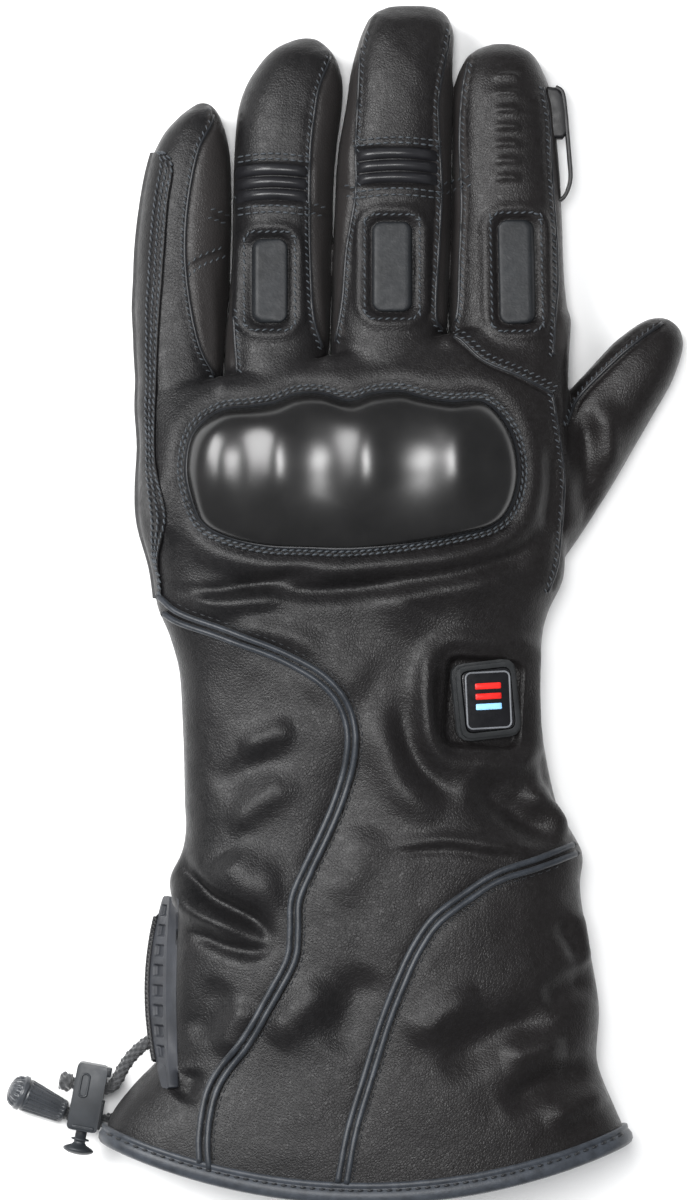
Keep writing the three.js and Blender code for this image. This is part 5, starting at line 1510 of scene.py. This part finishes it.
BAND_EDGE = [
    (157, 602), (157, 576), (162, 547), (169, 520), (164, 494), (157, 456), (158, 380), (160, 327),
    (164, 274), (167, 230), (170, 194), (175, 170), (170, 156), (158, 151),
]


def silhouette_left(rows):
    """For each height on the plan, the x of the glove's left edge, evened out."""
    across = np.arange(-72, -40, 0.3) * MM
    plan = np.stack(np.meshgrid(across, rows, indexing="ij"), -1)
    first = (relief.height(plan) > 4 * MM).argmax(0)
    edge = across[first]
    kernel = np.ones(9) / 9
    return np.convolve(np.pad(edge, 4, mode="edge"), kernel, "valid")


def add_side_band():
    """The strip over the side seam: across it, places from its edge to the glove's side, which it
    wraps; its edge is wavy, sin(2 pi run / 4.6 mm), and stands up a little."""
    edge = route(spot(BAND_EDGE), 0.6 * MM)
    run = np.arange(len(edge)) * 0.6 * MM
    left = silhouette_left(edge[:, 1])
    wave = 0.16 * MM * np.sin(2 * np.pi * run / (4.6 * MM)) + 0.1 * MM * np.sin(2 * np.pi * run / (1.9 * MM))
    right = np.maximum(edge[:, 0] + wave, left + 2.4 * MM)
    share = np.linspace(0, 1, 16)
    plan_x = left[:, None] + 0.5 * MM + (right - left - 0.5 * MM)[:, None] * share
    plan = np.stack([plan_x, np.broadcast_to(edge[:, 1:], plan_x.shape)], -1)
    lift = 0.55 * MM + 0.4 * MM * smooth(0.86, 0.97, share) - 0.35 * MM * smooth(0.97, 1.0, share)
    lift = lift + 0.25 * MM * np.sin(2 * np.pi * run / (3.1 * MM))[:, None] * smooth(0.7, 1, share)
    top = relief.lay(plan, lift)
    spare = np.pad(top, ((7, 7), (0, 0), (0, 0)), mode="edge")
    top = np.stack([spare[k:k + len(top)] for k in range(15)]).mean(0)
    wrap = top[:, :1] + np.array([(-0.2, 0, -3.6), (-0.9, 0, -2.2), (-0.7, 0, -0.9)]) * MM
    outside = np.concatenate([wrap, top], 1)
    under = outside[:, ::-1] - (0, 0, 0.9 * MM)
    band = tube_piece("side_strip", np.concatenate([outside, under], 1), LEATHER)
    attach(band, "glove")
    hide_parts("side_band")
    rows = []
    for share_at in (0.5, 0.7, 0.9):
        x = left + 0.5 * MM + (right - wave - left - 0.5 * MM) * share_at
        rows.append((np.stack([x, edge[:, 1]], 1)[4:-3:4], False))
    stitches("side_strip_stitches", rows, THREAD, pitch=1.9, long=1.7, thick=0.62, rise=0.8, slant=18)


TAB_MIDDLE, TAB_LENGTH = -128.3 * MM, 54 * MM


def add_tab():
    """The grey rubber tab: a bar with a flat strip along its ridge and a sloping face with a row of
    sunk slots, bowed by 1 - u^2, and a dark toothed strip under its edge."""
    y = np.sin(np.linspace(-1, 1, 190) * np.pi / 2) * 0.25 + np.linspace(-1, 1, 190) * 0.75
    bow = 1 - y**2
    ends = (1 - np.abs(y) ** 110) ** 0.5
    right = (-51.2 - 0.9 * bow) * MM
    ridge = right - 2.9 * MM
    low = ridge - (2.0 + 3.2 * bow) * MM
    place = y * TAB_LENGTH / 2 + TAB_MIDDLE
    top = soft_relief.height(np.stack([right + 1.5 * MM, place], 1)) + 1.9 * MM
    down = np.linspace(0, 1, 26)
    face_x = low[:, None] + (ridge - low)[:, None] * down
    face_z = top[:, None] + 8.0 * MM * (down - 1) + 0 * face_x
    pitch = 5.7 * MM
    along = np.abs((place / pitch) % 1 - 0.5) * pitch
    slot = (1 - smooth(1.35 * MM, 1.75 * MM, along))[:, None] * smooth(0.2, 0.27, down)
    slot = slot * (1 - smooth(0.72, 0.79, down))
    slot = slot * (np.abs(y) < 0.92)[:, None]
    face_x, face_z = face_x + 0.9 * MM * slot, face_z - 0.8 * MM * slot
    edge = np.stack([
        (ridge + 0.4 * MM, top + 0.2 * MM), (right - 0.5 * MM, top - 0.15 * MM),
        (right - 0.05 * MM, top - 0.6 * MM), (right, top - 2.6 * MM), (ridge - 0.5 * MM, top - 3.6 * MM),
        (low + 1.4 * MM, top - 9.2 * MM), (low + 0.4 * MM, top - 9.0 * MM),
    ], 0).transpose(2, 0, 1)
    section = np.concatenate([edge, np.stack([face_x, face_z], -1)], 1)
    middle = section.mean(1, keepdims=True)
    section = middle + (section - middle) * ends[:, None, None]
    along_bar = np.broadcast_to(place[:, None], section.shape[:2])
    rings = np.stack([section[..., 0], along_bar, section[..., 1]], -1)
    clear = relief.height(rings[..., :2]) + (0.1 + 0.6 * (np.arange(rings.shape[1]) > 6)) * MM
    rings[..., 2] = np.maximum(rings[..., 2], clear)
    tab = tube_piece("side_tab_bar", rings, GREY_RUBBER)
    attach(tab, "glove")
    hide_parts("side_tab")
    kept = slice(30, 165)
    teeth = 0.3 * MM * (np.arange(190) % 4 < 2)
    path = np.stack([low - 0.2 * MM - teeth, place, top - 8.6 * MM], 1)[kept]
    path[:, 2] = np.maximum(path[:, 2], relief.height(path[:, :2]) + 0.4 * MM)
    strip = tube_piece("tab_under_strip", sweep(path, circle(8, 0.9 * MM, 1.1), (0, 0, 1)), BLACK_RUBBER)
    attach(strip, "glove")


def add_wiper():
    """The wiper on the index finger: a solid panel by the nail and a bowed blade that runs on."""
    low, high = (corner.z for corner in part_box("visor_wiper"))
    outline = spot([(546, 138), (563, 138), (567, 133), (566, 110), (563, 94), (557, 87), (547, 86)])
    middle = outline.mean(0)
    levels = (
        (0.96, low), (1, low + 0.5 * MM), (1, high - 0.6 * MM), (0.95, high - 0.1 * MM), (0.85, high),
    )
    rings = []
    for share, up in levels:
        level = np.full((len(outline), 1), up)
        rings.append(np.concatenate([middle + (outline - middle) * share, level], 1))
    panel = tube_piece("wiper_panel", np.array(rings), BLACK_RUBBER)
    line = spot([
        (556, 86), (563, 92), (566, 112), (568, 135), (570, 158), (571, 178), (567, 192), (561, 199),
        (553, 200),
    ])
    path = route(line, 0.5 * MM)
    path = np.concatenate([path, np.full((len(path), 1), (low + high) / 2)], 1)
    blade = sweep(path, rounded_outline((0.55 * MM, (high - low) / 2), 0.3 * MM, points=4)[::-1], (0, 0, 1))
    blade = tube_piece("blade", blade, BLACK_RUBBER)
    wiper = joined("wiper_panel", [panel, blade])
    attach(wiper, "glove")
    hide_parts("visor_wiper")


def control_frame():
    """The control's own frame, from the button's face: its middle, and unit vectors across, along
    (the longer way) and out of it."""
    out = -np.array(next(j for j in frame["joints"] if j["name"] == "button_press")["axis"])
    verts = np.array([v.co for v in frame["nodes"]["control_button"].data.vertices])
    level = verts @ out
    face = verts[level > level.max() - 0.05 * MM]
    middle = (face.min(0) + face.max(0)) / 2
    spread = face - face.mean(0)
    along = np.linalg.eigh(spread.T @ spread)[1][:, 2]
    along *= np.sign(along[1])
    return middle, np.stack([np.cross(along, out), along, out])


CONTROL_MIDDLE, CONTROL_AXES = control_frame()


def on_control(points):
    return np.asarray(points) @ CONTROL_AXES + CONTROL_MIDDLE


def add_control():
    bezel = merged_copy("control_bezel", "control_surround", BEZEL_RUBBER, 0.45 * MM)
    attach(bezel, "glove")
    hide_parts("control_bezel")
    button = merged_copy("control_button", "control_face", BUTTON_FACE, 0.4 * MM)
    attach(button, "button")
    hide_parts("control_button")
    outline = rounded_outline((6.5 * MM, 7.9 * MM), 1.6 * MM)
    outline = on_control(np.concatenate([outline, np.full((len(outline), 1), 0.02 * MM)], 1))
    ring = sweep(outline[::-1], circle(8, 0.26 * MM, 0.6), CONTROL_AXES[2], closed=True)
    ring = tube_piece("control_frame_line", ring, BUTTON_EDGE, loop=True)
    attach(ring, "button")
    bars = (("high_bar", 4.0, RED_LIGHT), ("middle_bar", 1.1, RED_LIGHT), ("low_bar", -1.8, BLUE_LIGHT))
    for name, up, material in bars:
        bar = block_piece(name, on_control, (0, up, 0.02), (7.6, 1.7, 0.3), material)
        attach(bar, "button")


add_side_band()
add_tab()
add_wiper()
add_control()


# Light, floor and room


def add_light(name, size, place, target, power):
    data = bpy.data.lights.new(name, "AREA")
    data.shape = "RECTANGLE"
    data.size, data.size_y = size
    data.energy = power
    light = bpy.data.objects.new(name, data)
    light.location = place
    light.rotation_euler = (Vector(target) - Vector(place)).to_track_quat("-Z", "Y").to_euler()
    bpy.context.collection.objects.link(light)
    return light


add_light("key", (0.7, 0.7), (-0.8, 0.38, 1.0), (0, -0.02, 0), 27)
add_light("top", (0.34, 0.42), (-0.06, 0.14, 1.5), (0, 0, 0.02), 15)
fill = add_light("fill", (1.6, 1.6), (0.7, -0.7, 1.4), (0, 0, 0), 14)
fill.visible_glossy = False
world = bpy.data.worlds.new("studio")
world.use_nodes = True
world.node_tree.nodes["Background"].inputs["Color"].default_value = (0.93, 0.96, 1, 1)
world.node_tree.nodes["Background"].inputs["Strength"].default_value = 0.3
bpy.context.scene.world = world
bpy.context.scene.view_settings.view_transform = "Standard"
FLOOR = Finish("pale_floor", (0.9, 0.9, 0.9), 0.9).material
FLOOR_HALF = 2.5
corners = FLOOR_HALF * np.array([(-1, -1, 0), (1, -1, 0), (1, 1, 0), (-1, 1, 0)]) - (0, 0, 0.2 * MM)
new_piece("floor", corners, [(0, 1, 2, 3)], FLOOR)
